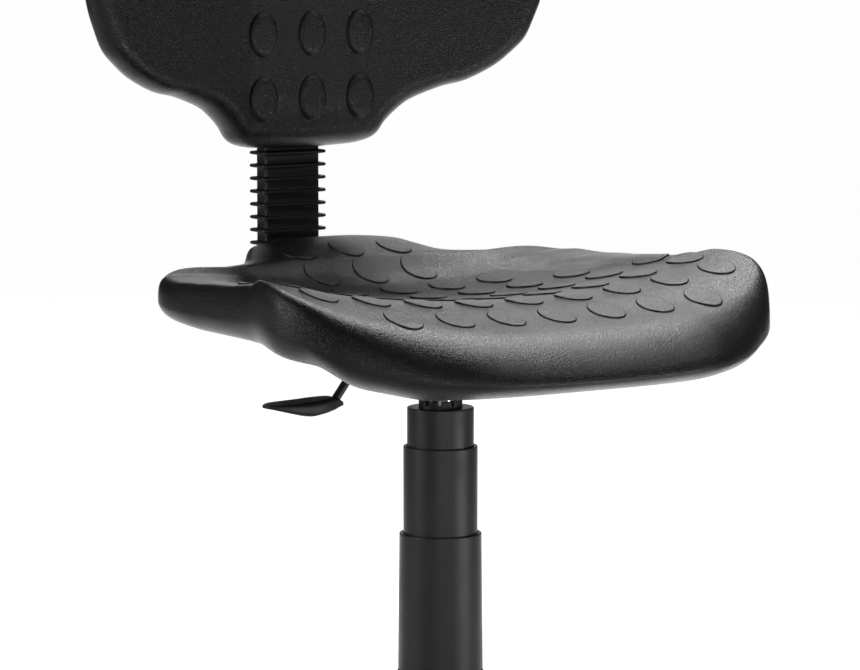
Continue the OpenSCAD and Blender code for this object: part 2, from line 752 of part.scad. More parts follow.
module castor_hood(k) {
    inner = wheel_radius + hood_gap;
    outer = inner + hood_wall;
    half = web_thickness / 2 + wheel_gap + wheel_width + 1;
    boss_foot = wheel_radius + inner * 0.55;
    color(black)
    castor_place(k)
    difference() {
        union() {
            translate([castor_trail, 0, wheel_radius])
                rotate([90, 0, 0]) cylinder(h = 2 * half, r = outer, center = true, $fn = 64);
            translate([0, 0, boss_foot])
                cylinder(h = arm_end_foot - 0.4 - boss_foot, r = stem_radius * 2);
        }
        translate([castor_trail, 0, wheel_radius])
            rotate([90, 0, 0]) cylinder(h = 2 * half + 2, r = inner, center = true, $fn = 64);
        translate([castor_trail - 2 * outer, -half - 1, -outer])
            cube([4 * outer, 2 * half + 2, outer + wheel_radius + inner * 0.30]);
        translate([0, -web_thickness / 2 - 0.2, 0])
            cube([castor_trail, web_thickness + 0.4, web_top(1) + 0.3]);
        translate([0, 0, wheel_radius]) cylinder(h = arm_end_foot, r = stem_radius);
    }
}

module castor_wheel(k, side) {
    mid = side * (web_thickness / 2 + wheel_gap + wheel_width / 2);
    color(black)
    castor_place(k)
        translate([castor_trail, mid, wheel_radius])
            rotate([90, 0, 0])
                difference() {
                    rotate_extrude($fn = 48)
                        polygon([[axle_radius + running_gap, -wheel_width / 2],
                            [wheel_radius - 2, -wheel_width / 2],
                            [wheel_radius, 2 - wheel_width / 2],
                            [wheel_radius, wheel_width / 2 - 2],
                            [wheel_radius - 2, wheel_width / 2],
                            [axle_radius + running_gap, wheel_width / 2]]);
                }
}

module rod_between(a, b, r) {
    v = b - a;
    translate(a)
        rotate([0, acos(v[2] / norm(v)), atan2(v[1], v[0])])
            cylinder(h = norm(v), r = r, $fn = 24);
}

module height_lever() {
    // Two straight lengths of rod that meet in a forged bend, with the pivot boss on the long one.
    r = lever_rod_diameter / 2;
    start = [lever_inner_reach, 0, lever_inner_height];
    corner = [-lever_bend_out, 0, lever_bend_height];
    end = [-lever_rod_end_out, 0, lever_rod_end_height];
    color(steel)
    difference() {
        union() {
            rod_between(start, corner, r);
            translate(corner) sphere(r * 1.15);
            rod_between(corner, end, r);
            translate([-lever_pivot_out, 0, lever_pivot_height])
                rotate([90, 0, 0]) cylinder(h = 3 * r, r = r * 1.25, center = true);
        }
        translate([-lever_pivot_out, 0, lever_pivot_height])
            rotate([90, 0, 0])
                cylinder(h = 6 * r, r = lever_pin_diameter / 2 + running_gap, center = true);
    }
}

module lever_paddle() {
    // Side view of the handle, heights measured from the end of the rod.
    t = lever_tip_out;
    e = lever_rod_end_out;
    h = lever_rod_end_height;
    span = t - e;
    c = [-lever_bend_out, 0, lever_bend_height];
    d = [-e, 0, h];
    color(black)
    difference() {
        intersection() {
            rotate([90, 0, 0])
                linear_extrude(paddle_width, center = true)
                    polygon([[-t, h + 3.2], [-e - span * 0.1, h + 6.2], [-e + 5, h + 5.4],
                        [-e + 7, h + 1], [-e + 3, h - 4.4], [-e - span * 0.42, h - 7.6],
                        [-e - span * 0.75, h - 3.5], [-t, h + 0.6]]);
            translate([0, 0, h - 20])
                linear_extrude(40)
                    hull() {
                        translate([-t + paddle_width * 0.4, 0]) circle(paddle_width * 0.4, $fn = 32);
                        translate([-e - span * 0.35, 0]) circle(paddle_width / 2, $fn = 32);
                        translate([-e, 0]) circle(paddle_width * 0.26, $fn = 32);
                    }
        }
        rod_between(d, c, lever_rod_diameter / 2);
    }
}

module lever_pin() {
    color(steel)
    translate([-lever_pivot_out, 0, lever_pivot_height])
        rotate([90, 0, 0])
            cylinder(h = 18, r = lever_pin_diameter / 2, center = true);
}

module lever_bracket() {
    floor_height = housing_foot + housing_wall;
    color(steel)
    difference() {
        union() {
            for (s = [-1, 1])
                translate([-lever_pivot_out - 5, s * 7 - 1.5, floor_height])
                    cube([10, 3, plate_foot - floor_height]);
            translate([-lever_pivot_out - 5, -8.5, floor_height])
                cube([10, 17, 2]);
        }
        translate([-lever_pivot_out, 0, lever_pivot_height])
            rotate([90, 0, 0]) cylinder(h = 30, r = lever_pin_diameter / 2, center = true);
    }
}

module back_bar() {
    py = back_pivot_rear;
    pz = back_pivot_height;
    t = bar_thickness;
    uy = upright_rear;
    r = bar_bend;
    outer = r + t;
    middle = [uy + t / 2 - outer, pz - t / 2 + outer];
    arc = [for (a = [0 : 9 : 90]) middle + outer * [sin(a), -cos(a)]];
    inner = [for (a = [90 : -9 : 0]) middle + r * [sin(a), -cos(a)]];
    color(black)
    difference() {
        union() {
            rotate([90, 0, 90])
                linear_extrude(bar_width, center = true)
                    polygon(concat([[py - 30, pz - t / 2]], arc,
                        [[uy + t / 2, upright_top], [uy - t / 2, upright_top]], inner,
                        [[py - 30, pz + t / 2]]));
            translate([0, py, pz])
                rotate([0, 90, 0]) cylinder(h = 2 * barrel_half, r = barrel_radius, center = true);
        }
        translate([0, py, pz])
            rotate([0, 90, 0])
                cylinder(h = 4 * barrel_half, r = back_pin_radius + running_gap, center = true);
    }
}

module back_pivot_pin() {
    color(steel)
    translate([0, back_pivot_rear, back_pivot_height])
        rotate([0, 90, 0])
            cylinder(h = 2 * housing_rear_half, r = back_pin_radius, center = true);
}

module torsion_bushes() {
    gap = 0.3;
    length = housing_rear_half - housing_wall - barrel_half - gap;
    color("#2a2a2a")
    for (s = [-1, 1])
        translate([s * (barrel_half + gap + length / 2), back_pivot_rear, back_pivot_height])
            rotate([0, 90, 0])
                difference() {
                    cylinder(h = length, r = barrel_radius, center = true);
                    cylinder(h = length * 2, r = back_pin_radius, center = true);
                }
}

module back_stop() {
    // Rubber block under the bar, ahead of the hinge.
    low = housing_foot + housing_wall;
    color("#2a2a2a")
    translate([-14, back_pivot_rear - 28, low])
        cube([28, 12, back_pivot_height - bar_thickness / 2 - low]);
}

module bar_cap() {
    color(black)
    translate([-bar_width / 2 + 0.2, upright_rear - bar_thickness / 2 + 0.2, upright_top])
        cube([bar_width - 0.4, bar_thickness - 0.4, 5]);
}

module slot_shape(w, d, r) {
    hull() {
        for (x = [-1, 1]) for (y = [-1, 1])
            translate([x * (w / 2 - r), y * (d / 2 - r)]) circle(r, $fn = 20);
    }
}

module bellows() {
    length = carrier_foot - bellows_foot;
    color("#161616")
    translate([0, upright_rear, bellows_foot])
        difference() {
            union() {
                linear_extrude(length) slot_shape(bellows_width, bellows_depth, 4);
                for (k = [0 : rib_count - 1])
                    translate([0, 0, (k + 0.5) * rib_pitch - rib_thickness / 2])
                        linear_extrude(rib_thickness)
                            slot_shape(bellows_width + 2 * rib_out, bellows_depth + 2 * rib_out, 6.5);
            }
            translate([0, 0, rib_pitch * 0.6])
                linear_extrude(length)
                    slot_shape(bellows_width - 2 * bellows_wall, bellows_depth - 2 * bellows_wall, 2.5);
            translate([-bar_width / 2, -bar_thickness / 2, -1])
                cube([bar_width, bar_thickness, length]);
        }
}

// Backrest outline and surfaces. Y is the depth, Z the height.
back_plan = [for (p = closed_curve(mirrored(back_outline_shares), 1))
    [p[0] * back_half_width, back_low + p[1] * back_height - back_centre_height]];
function wing(x) = pow(max(0, abs(x) - band_half) / (back_half_width - band_half), wing_power);
function back_face(x, z) = back_front - wing_forward * wing(x);
function back_thick(x, z) = wing_thickness + spine_thickness * exp(-pow(x / 95, 2))
    * (1 - 0.7 * max(0, min(1, (z - channel_top) / 80)));
function back_rear(x, z) = back_face(x, z) + back_thick(x, z);
function face_point(p, d) = let (q = inward(p, d), z = q[1] + back_centre_height,
    z0 = p[1] + back_centre_height,
    m = back_face(p[0], z0) + 0.5 * back_thick(p[0], z0))
    [q[0], m - (m - back_face(q[0], z)) * rounded(d / back_round, 2), z];
function rear_point(p, d) = let (q = inward(p, d), z = q[1] + back_centre_height,
    z0 = p[1] + back_centre_height,
    m = back_face(p[0], z0) + 0.5 * back_thick(p[0], z0))
    [q[0], m + (back_rear(q[0], z) - m) * rounded(d / back_round, 2), z];
function face_share(p, f) = let (q = inward(p, back_round) * f, z = q[1] + back_centre_height)
    [q[0], back_face(q[0], z), z];
function rear_share(p, f) = let (q = inward(p, back_round) * f, z = q[1] + back_centre_height)
    [q[0], back_rear(q[0], z), z];

module back_form() {
    rings = concat(
        [for (f = [0.28, 0.52, 0.76]) [for (p = back_plan) face_share(p, f)]],
        [for (s = [1, 0.6, 0.3, 0.08]) [for (p = back_plan) face_point(p, s * back_round)]],
        [[for (p = back_plan) let (z = p[1] + back_centre_height)
            [p[0], back_face(p[0], z) + 0.5 * back_thick(p[0], z), z]]],
        [for (s = [0.08, 0.3, 0.6, 1]) [for (p = back_plan) rear_point(p, s * back_round)]],
        [for (f = [0.76, 0.52, 0.28]) [for (p = back_plan) rear_share(p, f)]]);
    ring_solid(rings, [0, back_face(0, back_centre_height), back_centre_height],
        [0, back_rear(0, back_centre_height), back_centre_height]);
}

module back_board_shape() {
    r = back_board_thickness * 2;
    hull() {
        for (x = [-1, 1]) for (z = [back_board_low + r, back_board_high - r])
            translate([x * (back_board_half - r), z]) circle(r, $fn = 32);
    }
}

module back_board_solid() {
    translate([0, channel_floor, 0])
        rotate([90, 0, 0]) linear_extrude(back_board_thickness) back_board_shape();
}

module back_pad() {
    color(black)
    difference() {
        back_form();
        translate([-channel_half, channel_floor, back_low - 20])
            cube([2 * channel_half, 80, channel_top - back_low + 20]);
        back_board_solid();
    }
}

module screw_places() {
    for (x = [-1, 1]) for (z = [carrier_foot + carrier_length * 0.65, carrier_foot + carrier_length * 0.9])
        translate([x * (carrier_half - 4.2), 0, z]) children();
}

module back_board() {
    color("#b08d5b")
    difference() {
        back_board_solid();
        screw_places()
            translate([0, channel_floor + 1, 0])
                rotate([90, 0, 0]) cylinder(h = back_board_thickness, r = 1.6, $fn = 24);
    }
}

module back_carrier() {
    slot_gap = 0.15;
    rear = upright_rear + bar_thickness / 2 + carrier_wall;
    color(black)
    difference() {
        translate([-carrier_half, channel_floor, carrier_foot])
            cube([2 * carrier_half, rear - channel_floor, carrier_top - carrier_foot]);
        translate([-bar_width / 2 - slot_gap, upright_rear - bar_thickness / 2 - slot_gap,
            carrier_foot - 1])
            cube([bar_width + 2 * slot_gap, bar_thickness + 2 * slot_gap, carrier_length + 2]);
        translate([0, upright_rear, knob_height])
            rotate([-90, 0, 0]) cylinder(h = 60, r = 4 + running_gap);
        screw_places()
            translate([0, channel_floor - 1, 0])
                rotate([-90, 0, 0]) cylinder(h = 60, r = 1.6, $fn = 24);
    }
}

module carrier_screws() {
    rear = upright_rear + bar_thickness / 2 + carrier_wall;
    color(steel)
    screw_places() {
        translate([0, channel_floor - back_board_thickness + 1.5, 0])
            rotate([-90, 0, 0])
                cylinder(h = rear - channel_floor + back_board_thickness - 1.5, r = 1.6, $fn = 24);
        translate([0, rear, 0])
            rotate([-90, 0, 0]) cylinder(h = 2.2, r = 3.4);
    }
}

module back_knob() {
    rear = upright_rear + bar_thickness / 2 + carrier_wall;
    color(black) {
        translate([0, upright_rear + bar_thickness / 2 + 0.3, knob_height])
            rotate([-90, 0, 0]) cylinder(h = carrier_wall + 2, r = 4);
        translate([0, rear + 0.4, knob_height])
            rotate([-90, 0, 0])
                difference() {
                    cylinder(h = knob_length, r = knob_radius, $fn = 72);
                    for (k = [0 : 11])
                        rotate([0, 0, 30 * k])
                            translate([knob_radius + 1.2, 0, -1])
                                cylinder(h = knob_length + 2, r = 2.6, $fn = 20);
                }
    }
}

star_base();
hub_sleeve();
gas_outer_tube();
guide_bush();
thrust_bearing();
piston_rod();
retaining_clip();
pressure_tube();
valve_pin();
shroud_lower();
shroud_mid();
shroud_upper();
shroud_collar();
mech_housing();
mounting_plate();
taper_socket();
seat_board();
seat_bolts();
tee_nuts();
seat_pad();
height_lever();
lever_paddle();
lever_pin();
lever_bracket();
back_bar();
back_pivot_pin();
torsion_bushes();
back_stop();
bar_cap();
bellows();
back_pad();
back_board();
back_carrier();
carrier_screws();
back_knob();
castor_hood(1);  // castor_1_hood
castor_pintle(1);  // castor_1_pintle
castor_wheel(1, 1);  // castor_1_wheel_l
castor_wheel(1, -1);  // castor_1_wheel_r
castor_hood(2);  // castor_2_hood
castor_pintle(2);  // castor_2_pintle
castor_wheel(2, 1);  // castor_2_wheel_l
castor_wheel(2, -1);  // castor_2_wheel_r
castor_hood(3);  // castor_3_hood
castor_pintle(3);  // castor_3_pintle
castor_wheel(3, 1);  // castor_3_wheel_l
castor_wheel(3, -1);  // castor_3_wheel_r
castor_hood(4);  // castor_4_hood
castor_pintle(4);  // castor_4_pintle
castor_wheel(4, 1);  // castor_4_wheel_l
castor_wheel(4, -1);  // castor_4_wheel_r
castor_hood(5);  // castor_5_hood
castor_pintle(5);  // castor_5_pintle
castor_wheel(5, 1);  // castor_5_wheel_l
castor_wheel(5, -1);  // castor_5_wheel_r
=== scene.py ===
"""Workshop chair with moulded polyurethane seat and back, on the CAD model as its frame."""

import math

import bpy
import numpy as np
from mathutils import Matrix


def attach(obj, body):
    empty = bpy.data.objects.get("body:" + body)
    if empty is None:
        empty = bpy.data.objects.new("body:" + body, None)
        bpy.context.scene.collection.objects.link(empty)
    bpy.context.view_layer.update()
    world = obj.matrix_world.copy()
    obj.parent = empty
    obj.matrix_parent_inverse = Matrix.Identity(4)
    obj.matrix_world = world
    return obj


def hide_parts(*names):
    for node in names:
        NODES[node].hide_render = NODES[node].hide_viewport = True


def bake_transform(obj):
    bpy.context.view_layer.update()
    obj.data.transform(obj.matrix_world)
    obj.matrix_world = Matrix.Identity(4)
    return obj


bl_info = {
    "name": "Workshop chair",
    "version": (1, 0, 0),
    "blender": (4, 5, 0),
    "location": "3D View > Sidebar > Chair",
    "description": "Pieces, finishes and studio of a workshop chair",
    "category": "Object",
}

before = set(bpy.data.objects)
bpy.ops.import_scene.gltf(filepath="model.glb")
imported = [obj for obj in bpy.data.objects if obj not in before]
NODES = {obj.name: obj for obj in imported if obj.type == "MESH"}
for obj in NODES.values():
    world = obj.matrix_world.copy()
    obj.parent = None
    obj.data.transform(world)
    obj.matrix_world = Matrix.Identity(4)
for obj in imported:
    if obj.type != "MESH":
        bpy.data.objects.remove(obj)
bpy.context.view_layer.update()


# Sizes and colours that a user would change, one group for each part of the chair.

def metres(label, text, value):
    """A length in metres, shown in the panel in the scene's units."""
    return bpy.props.FloatProperty(name=label, description=text, default=value, precision=5,
                                   subtype="DISTANCE", unit="LENGTH")


def share(label, text, value):
    """A plain number without a unit."""
    return bpy.props.FloatProperty(name=label, description=text, default=value, precision=4)


def count(label, text, value):
    """A whole number."""
    return bpy.props.IntProperty(name=label, description=text, default=value, min=1)


def degrees(label, text, value):
    """An angle, given here in degrees."""
    return bpy.props.FloatProperty(name=label, description=text, default=math.radians(value),
                                   subtype="ANGLE", unit="ROTATION")


def tint(label, text, value):
    """A colour as an sRGB hex value."""
    return bpy.props.StringProperty(name=label, description=text, default=value)


class ChairSeat(bpy.types.PropertyGroup):
    half_width: metres("Half width", "Half the width of the seat", 0.225)
    front: metres("Front reach", "From the column to the front edge", 0.242)
    rear: metres("Rear reach", "From the column to the rear edge of the tongue", 0.197)
    dish: metres("Dish height", "Height of the lowest place on top of the seat", 0.4556)
    tongue_rise: metres("Tongue rise", "Rise of the rear tongue over the dish", 0.037)
    side_rise: metres("Side rise", "Rise of the sides over the dish", 0.0115)
    side_place: metres("Side place", "Distance from the middle where the sides have risen",
                       0.145)
    rim_rise: metres("Rim rise", "Rise of the rim outside the crease", 0.012)
    rim_place: metres("Rim place", "Distance from the middle where the rim is highest", 0.205)
    front_edge: metres("Front edge", "Height of the lower edge at the front", 0.408)
    edge_lift: metres("Edge lift", "Lift of the lower edge at the sides", 0.036)
    under: metres("Underside", "Height of the flat underside", 0.412)
    top_round: metres("Upper rounding", "Width of the rounding along the upper edge", 0.014)
    low_round: metres("Lower rounding", "Width of the rounding along the lower edge", 0.018)
    front_round: metres("Front rounding", "Width of both roundings along the front edge", 0.048)
    top_square: share("Upper squareness", "How square the upper edge is, 2 is round", 3.2)
    low_square: share("Lower squareness", "How square the lower edge is, 2 is round", 2.0)
    front_top_square: share("Front upper squareness", "The same for the upper front edge", 2.0)
    front_low_square: share("Front lower squareness", "The same for the lower front edge", 1.6)
    parting: share("Parting", "Share of the edge's height where upper and lower edge meet",
                   0.42)
    front_parting: share("Front parting", "The same share along the front edge", 0.34)
    board_half: metres("Board half width", "Half the width of the board inside", 0.135)
    board_front: metres("Board front", "From the column to the front edge of the board", 0.150)
    board_rear: metres("Board rear", "From the column to the rear edge of the board", 0.125)
    board_margin: metres("Board margin", "How far the flat underside goes past the board", 0.005)
    rear_narrow: metres("Rear narrowing", "How much narrower the flat underside is behind", 0.030)
    nub_pitch: metres("Nub pitch", "Distance between the nubs across the seat", 0.04827)
    nub_half: metres("Nub half width", "Half the width of a nub", 0.0142)
    nub_reach: metres("Nub half length", "Half the length of a nub", 0.0180)
    nub_rise: metres("Nub rise", "Height of a nub over the skin", 0.0014)


class ChairBack(bpy.types.PropertyGroup):
    half_width: metres("Half width", "Half the width of the backrest", 0.230)
    low: metres("Lower edge", "Height of the lower edge", 0.566)
    high: metres("Upper edge", "Height of the upper edge", 0.873)
    face: metres("Face", "Depth of the middle of the front face", 0.195)
    wing: metres("Wing reach", "How far the sides curve forward", 0.033)
    wing_power: share("Wing power", "Exponent of the sides' curve, 1 is straight", 1.1)
    band: metres("Band half width", "Half the width of the flat middle band", 0.058)
    band_depth: metres("Band depth", "How deep the flat band lies in the face", 0.0008)
    thick: metres("Thickness", "Thickness of the sides", 0.032)
    spine: metres("Spine", "Extra thickness in the middle", 0.018)
    spine_wide: metres("Spine width", "Width of the bell curve of the extra thickness", 0.095)
    spine_fade: metres("Spine fade", "Height over which it fades above the channel", 0.080)
    rounding: metres("Rounding", "Rounding of the edge", 0.018)
    centre: metres("Centre height", "Height that the outline closes in on", 0.715)
    channel_half: metres("Channel half width", "Half the width of the channel at the rear", 0.034)
    channel_floor: metres("Channel floor", "Depth of the channel floor", 0.224)
    channel_top: metres("Channel top", "Height of the upper end of the channel", 0.756)
    channel_edge: metres("Channel edge", "Width over which the channel's edge turns in", 0.003)
    liner_lip: metres("Liner lip", "Width of the liner's lip on the rear skin", 0.006)
    liner_rise: metres("Liner rise", "Height of that lip over the skin", 0.0012)
    liner_wall: metres("Liner wall", "Wall of the liner", 0.0015)
    nub_pitch: metres("Nub pitch", "Distance between the nubs across the back", 0.0483)
    nub_step: metres("Nub step", "Distance between the rows of nubs", 0.0545)
    nub_first: metres("First row", "Height of the lowest row of nubs", 0.611)
    nub_rows: count("Nub rows", "Number of rows of nubs", 5)
    nub_half: metres("Nub half width", "Half the width of a nub", 0.0138)
    nub_reach: metres("Nub half height", "Half the height of a nub", 0.0196)
    nub_rise: metres("Nub rise", "Height of a nub over the skin", 0.0024)


class ChairColumn(bpy.types.PropertyGroup):
    upper_radius: metres("Upper radius", "Radius of the top stage of the cover", 0.02745)
    mid_radius: metres("Middle radius", "Radius of the middle stage", 0.03055)
    lower_radius: metres("Lower radius", "Radius of the lower stage at its top", 0.03385)
    foot_radius: metres("Foot radius", "Radius of the lower stage at its foot", 0.0349)
    upper_top: metres("Upper top", "Height of the top stage", 0.3675)
    mid_top: metres("Middle top", "Height of the middle stage", 0.3355)
    lower_top: metres("Lower top", "Height of the lower stage", 0.2635)
    upper_length: metres("Upper length", "Length of the top stage", 0.075)
    mid_length: metres("Middle length", "Length of the middle stage", 0.125)
    wall: metres("Wall", "Wall of the cover", 0.00175)
    lip: metres("Lip", "Depth of the lip turned in at the top of a stage", 0.003)
    fit: metres("Fit", "Gap between a stage and the lip around it", 0.0003)
    collar_radius: metres("Collar radius", "Radius of the notched collar", 0.018)
    collar_bore: metres("Collar bore", "Radius of the bore of the collar", 0.0143)
    collar_rise: metres("Collar rise", "Height of the collar over the top stage", 0.006)
    flange: metres("Flange", "Width of the collar's flange under the top stage", 0.003)
    flange_thick: metres("Flange thickness", "Thickness of that flange", 0.0025)
    notches: count("Notches", "Number of notches in the collar", 10)


class ChairSupport(bpy.types.PropertyGroup):
    upright: metres("Upright", "Depth of the upright behind the column", 0.237)
    bar_width: metres("Bar width", "Width of the flat steel bar", 0.044)
    bar_thick: metres("Bar thickness", "Thickness of the flat steel bar", 0.008)
    bar_bend: metres("Bar bend", "Inner radius of the bend of the bar", 0.024)
    bar_start: metres("Bar start", "How far the bar goes past its hinge", 0.030)
    bar_top: metres("Bar top", "Height of the end of the bar", 0.715)
    hinge_rear: metres("Hinge", "Depth of the hinge behind the column", 0.100)
    hinge_height: metres("Hinge height", "Height of the hinge", 0.398)
    hinge_radius: metres("Hinge radius", "Radius of the barrel on the hinge pin", 0.008)
    hinge_bore: metres("Hinge bore", "Radius of the bore of the barrel", 0.00505)
    hinge_half: metres("Hinge half width", "Half the width of the barrel", 0.022)
    bellows_width: metres("Bellows width", "Width of the bellows between the ribs", 0.054)
    bellows_depth: metres("Bellows depth", "Depth of the bellows between the ribs", 0.017)
    rib_out: metres("Rib", "How far a rib stands out", 0.0050)
    rib_pitch: metres("Rib pitch", "Distance between the ribs", 0.011)
    bellows_round: metres("Bellows corner", "Rounding of the corners between the ribs", 0.0026)
    bellows_ahead: metres("Bellows offset", "How far it sits in front of the bar's middle", 0.003)
    bellows_foot: metres("Bellows foot", "Height of the foot of the bellows", 0.424)
    ribs: count("Ribs", "Number of ribs", 17)
    carrier_half: metres("Carrier half width", "Half the width of the carrier", 0.029)
    carrier_foot: metres("Carrier foot", "Height of the foot of the carrier", 0.612)
    carrier_top: metres("Carrier top", "Height of the top of the carrier", 0.690)
    carrier_front: metres("Carrier front", "Depth of the front of the carrier", 0.2243)
    carrier_wall: metres("Carrier wall", "Wall of the carrier behind the bar", 0.008)
    carrier_round: metres("Carrier corner", "Rounding of the corners of the carrier", 0.004)
    knob_height: metres("Knob height", "Height of the clamping knob", 0.655)
    knob_radius: metres("Knob radius", "Radius of the clamping knob", 0.020)
    knob_length: metres("Knob length", "Length of the clamping knob", 0.020)
    lever_height: metres("Lever height", "Height of the lever's inner end", 0.404)
    lever_pivot: metres("Lever pivot", "Distance of the lever's pivot", 0.060)
    lever_bend: metres("Lever bend", "Distance of the lever's bend", 0.086)
    lever_end: metres("Lever end", "Distance of the end of the lever's rod", 0.105)
    lever_end_height: metres("Lever end height", "Height of the end of the rod", 0.378)
    lever_drop: metres("Lever drop", "Fall of the rod from its inner end to its bend", 0.002)
    lever_turn: metres("Lever turn", "Rounding of the bend of the rod", 0.010)
    lever_tip: metres("Lever tip", "Distance of the tip of the handle", 0.168)
    rod_radius: metres("Lever rod", "Radius of the lever's rod", 0.0035)
    eye_radius: metres("Lever eye", "Radius of the eye on the lever's pivot", 0.0044)
    eye_bore: metres("Eye bore", "Radius of the bore of the eye", 0.00205)
    eye_half: metres("Eye half width", "Half the width of the eye", 0.005)


class ChairBase(bpy.types.PropertyGroup):
    reach: metres("Arm reach", "From the column to the castor stems", 0.285)
    hub_top: metres("Hub top", "Height of the hub", 0.150)
    hub_foot: metres("Hub foot", "Height of the hub's underside", 0.072)
    hub_top_radius: metres("Hub top radius", "Radius of the hub at its top", 0.03525)
    hub_foot_radius: metres("Hub foot radius", "Radius of the hub at its foot", 0.041)
    hub_bore: metres("Hub bore", "Radius of the bore for the steel sleeve", 0.029)
    hub_mouth: metres("Hub mouth", "Radius of the hole in the top of the hub", 0.0252)
    hub_roof: metres("Hub roof", "Thickness of the top of the hub", 0.0025)
    arm_root: metres("Arm root", "From the column to where the arms start", 0.026)
    arm_wall: metres("Arm wall", "Wall of the hollow arms", 0.0035)
    rib_thick: metres("Rib thickness", "Thickness of the ribs in the arms", 0.0028)
    root_top: metres("Arm root top", "Height of an arm at the hub", 0.138)
    root_depth: metres("Arm root depth", "Depth of an arm at the hub", 0.052)
    root_width: metres("Arm root width", "Width of an arm at the hub", 0.044)
    end_top: metres("Arm end top", "Height of the end of an arm", 0.088)
    end_foot: metres("Arm end foot", "Height of the underside at the end of an arm", 0.060)
    end_radius: metres("Arm end radius", "Radius of the end of an arm", 0.015)
    wheel_radius: metres("Wheel radius", "Radius of a castor wheel", 0.025)
    wheel_width: metres("Wheel width", "Width of a castor wheel", 0.015)
    trail: metres("Trail", "From the stem to the axle of a castor", 0.019)
    web: metres("Web", "Thickness of the web between the wheels", 0.006)
    wheel_gap: metres("Wheel gap", "Gap between a wheel and the web", 0.0004)
    hood_gap: metres("Hood gap", "Gap between wheels and hood", 0.0016)
    hood_wall: metres("Hood wall", "Wall of the hood", 0.0022)
    stem_radius: metres("Stem radius", "Radius of a castor stem", 0.0055)
    neck_radius: metres("Neck radius", "Radius of the hood's neck at its ends", 0.0105)
    axle_bore: metres("Axle bore", "Radius of a wheel's bore", 0.00405)


class ChairMechanism(bpy.types.PropertyGroup):
    half_width: metres("Half width", "Half the width of the housing", 0.072)
    front: metres("Front reach", "From the column to the front of the housing", 0.070)
    step: metres("Step", "Where the housing narrows behind the column", 0.018)
    rear_half: metres("Rear half width", "Half the width of the rear part", 0.036)
    rear: metres("Rear reach", "From the column to the rear of the housing", 0.116)
    foot: metres("Foot", "Height of the underside", 0.387)
    top: metres("Top", "Height of the upper edge", 0.409)
    wall: metres("Wall", "Thickness of the pressed steel", 0.0025)
    socket: metres("Socket radius", "Radius of the hole for the taper socket", 0.019)


class ChairLook(bpy.types.PropertyGroup):
    skin: tint("Polyurethane skin", "Colour of the moulded skin", "#171717")
    # Painted shade: the grooves of the grain are painted with this darker colour.
    shaded_groove: tint("Skin groove", "Colour of the painted shade in the grooves of its grain", "#101010")
    plastic: tint("Cover plastic", "Colour of the column cover", "#2f2f30")
    nylon: tint("Nylon", "Colour of the base and castors", "#232324")
    wheel: tint("Polyamide", "Colour of the castor wheels", "#1d1d1e")
    rubber: tint("Rubber", "Colour of the bellows", "#1b1b1b")
    paint: tint("Steel paint", "Colour of the painted steel", "#1e1f20")
    zinc: tint("Zinc", "Colour of the zinc plated steel", "#a7a9ab")
    chrome: tint("Chrome", "Colour of the chromed rod", "#c9cbcd")
    brass: tint("Brass", "Colour of the valve pin", "#c3a052")
    acetal: tint("Acetal", "Colour of the guide bush", "#d9d5c6")
    ply: tint("Plywood", "Colour of the boards inside", "#b48f5e")
    glue: tint("Glue line", "Colour of the glue lines in the plywood", "#8f6c42")
    floor: tint("Floor", "Colour of the floor and backdrop", "#cdcdcd")
    grain: metres("Grain", "Size of one cell of the leather-like grain", 0.0015)
    grain_depth: metres("Grain depth", "Depth of the grooves of the grain", 0.00021)
    rubbed: metres("Rubbed patches", "Size of the patches that rubbing made shinier", 0.045)
    veneer: metres("Veneer", "Thickness of one veneer of the plywood", 0.0016)


class ChairStudio(bpy.types.PropertyGroup):
    camera: bpy.props.FloatVectorProperty(
        name="Camera", description="Place of the camera", size=3, subtype="XYZ", unit="LENGTH",
        default=(-1.96057, -2.89128, 0.84006))
    pitch: degrees("Pitch", "Angle of the camera down from level", 6.75)
    yaw: degrees("Yaw", "Turn of the camera to the chair's own front", 34.0)
    lens: share("Lens", "Focal length in millimetres on a 36 millimetre sensor", 180.0)


GROUPS = {"seat": ChairSeat, "back": ChairBack, "column": ChairColumn, "support": ChairSupport,
          "base": ChairBase, "mechanism": ChairMechanism, "look": ChairLook, "studio": ChairStudio}


class ChairSettings(bpy.types.PropertyGroup):
    seat: bpy.props.PointerProperty(type=ChairSeat)
    back: bpy.props.PointerProperty(type=ChairBack)
    column: bpy.props.PointerProperty(type=ChairColumn)
    support: bpy.props.PointerProperty(type=ChairSupport)
    base: bpy.props.PointerProperty(type=ChairBase)
    mechanism: bpy.props.PointerProperty(type=ChairMechanism)
    look: bpy.props.PointerProperty(type=ChairLook)
    studio: bpy.props.PointerProperty(type=ChairStudio)


# Curves, loops and grids of points.

def ease(t):
    """Zero below 0, one above 1, and 3 t squared minus 2 t cubed between them."""
    t = np.clip(t, 0.0, 1.0)
    return t * t * (3.0 - 2.0 * t)


def through(points, per, closed=False):
    """Curve through the points: on each stretch the cubic whose slope at a point is half the step
    from the point before it to the one after it."""
    p = np.asarray(points, float)
    if closed:
        a, b, c, d = (np.roll(p, s, axis=0) for s in (1, 0, -1, -2))
    else:
        q = np.vstack([2 * p[0] - p[1], p, 2 * p[-1] - p[-2]])
        a, b, c, d = q[:-3], q[1:-2], q[2:-1], q[3:]
    t = (np.arange(per) / per)[None, :, None]
    a, b, c, d = (x[:, None, :] for x in (a, b, c, d))
    out = 0.5 * (2 * b + (c - a) * t + (2 * a - 5 * b + 4 * c - d) * t ** 2
                 + (3 * b - a - 3 * c + d) * t ** 3)
    out = out.reshape(-1, p.shape[1])
    return out if closed else np.vstack([out, p[-1]])


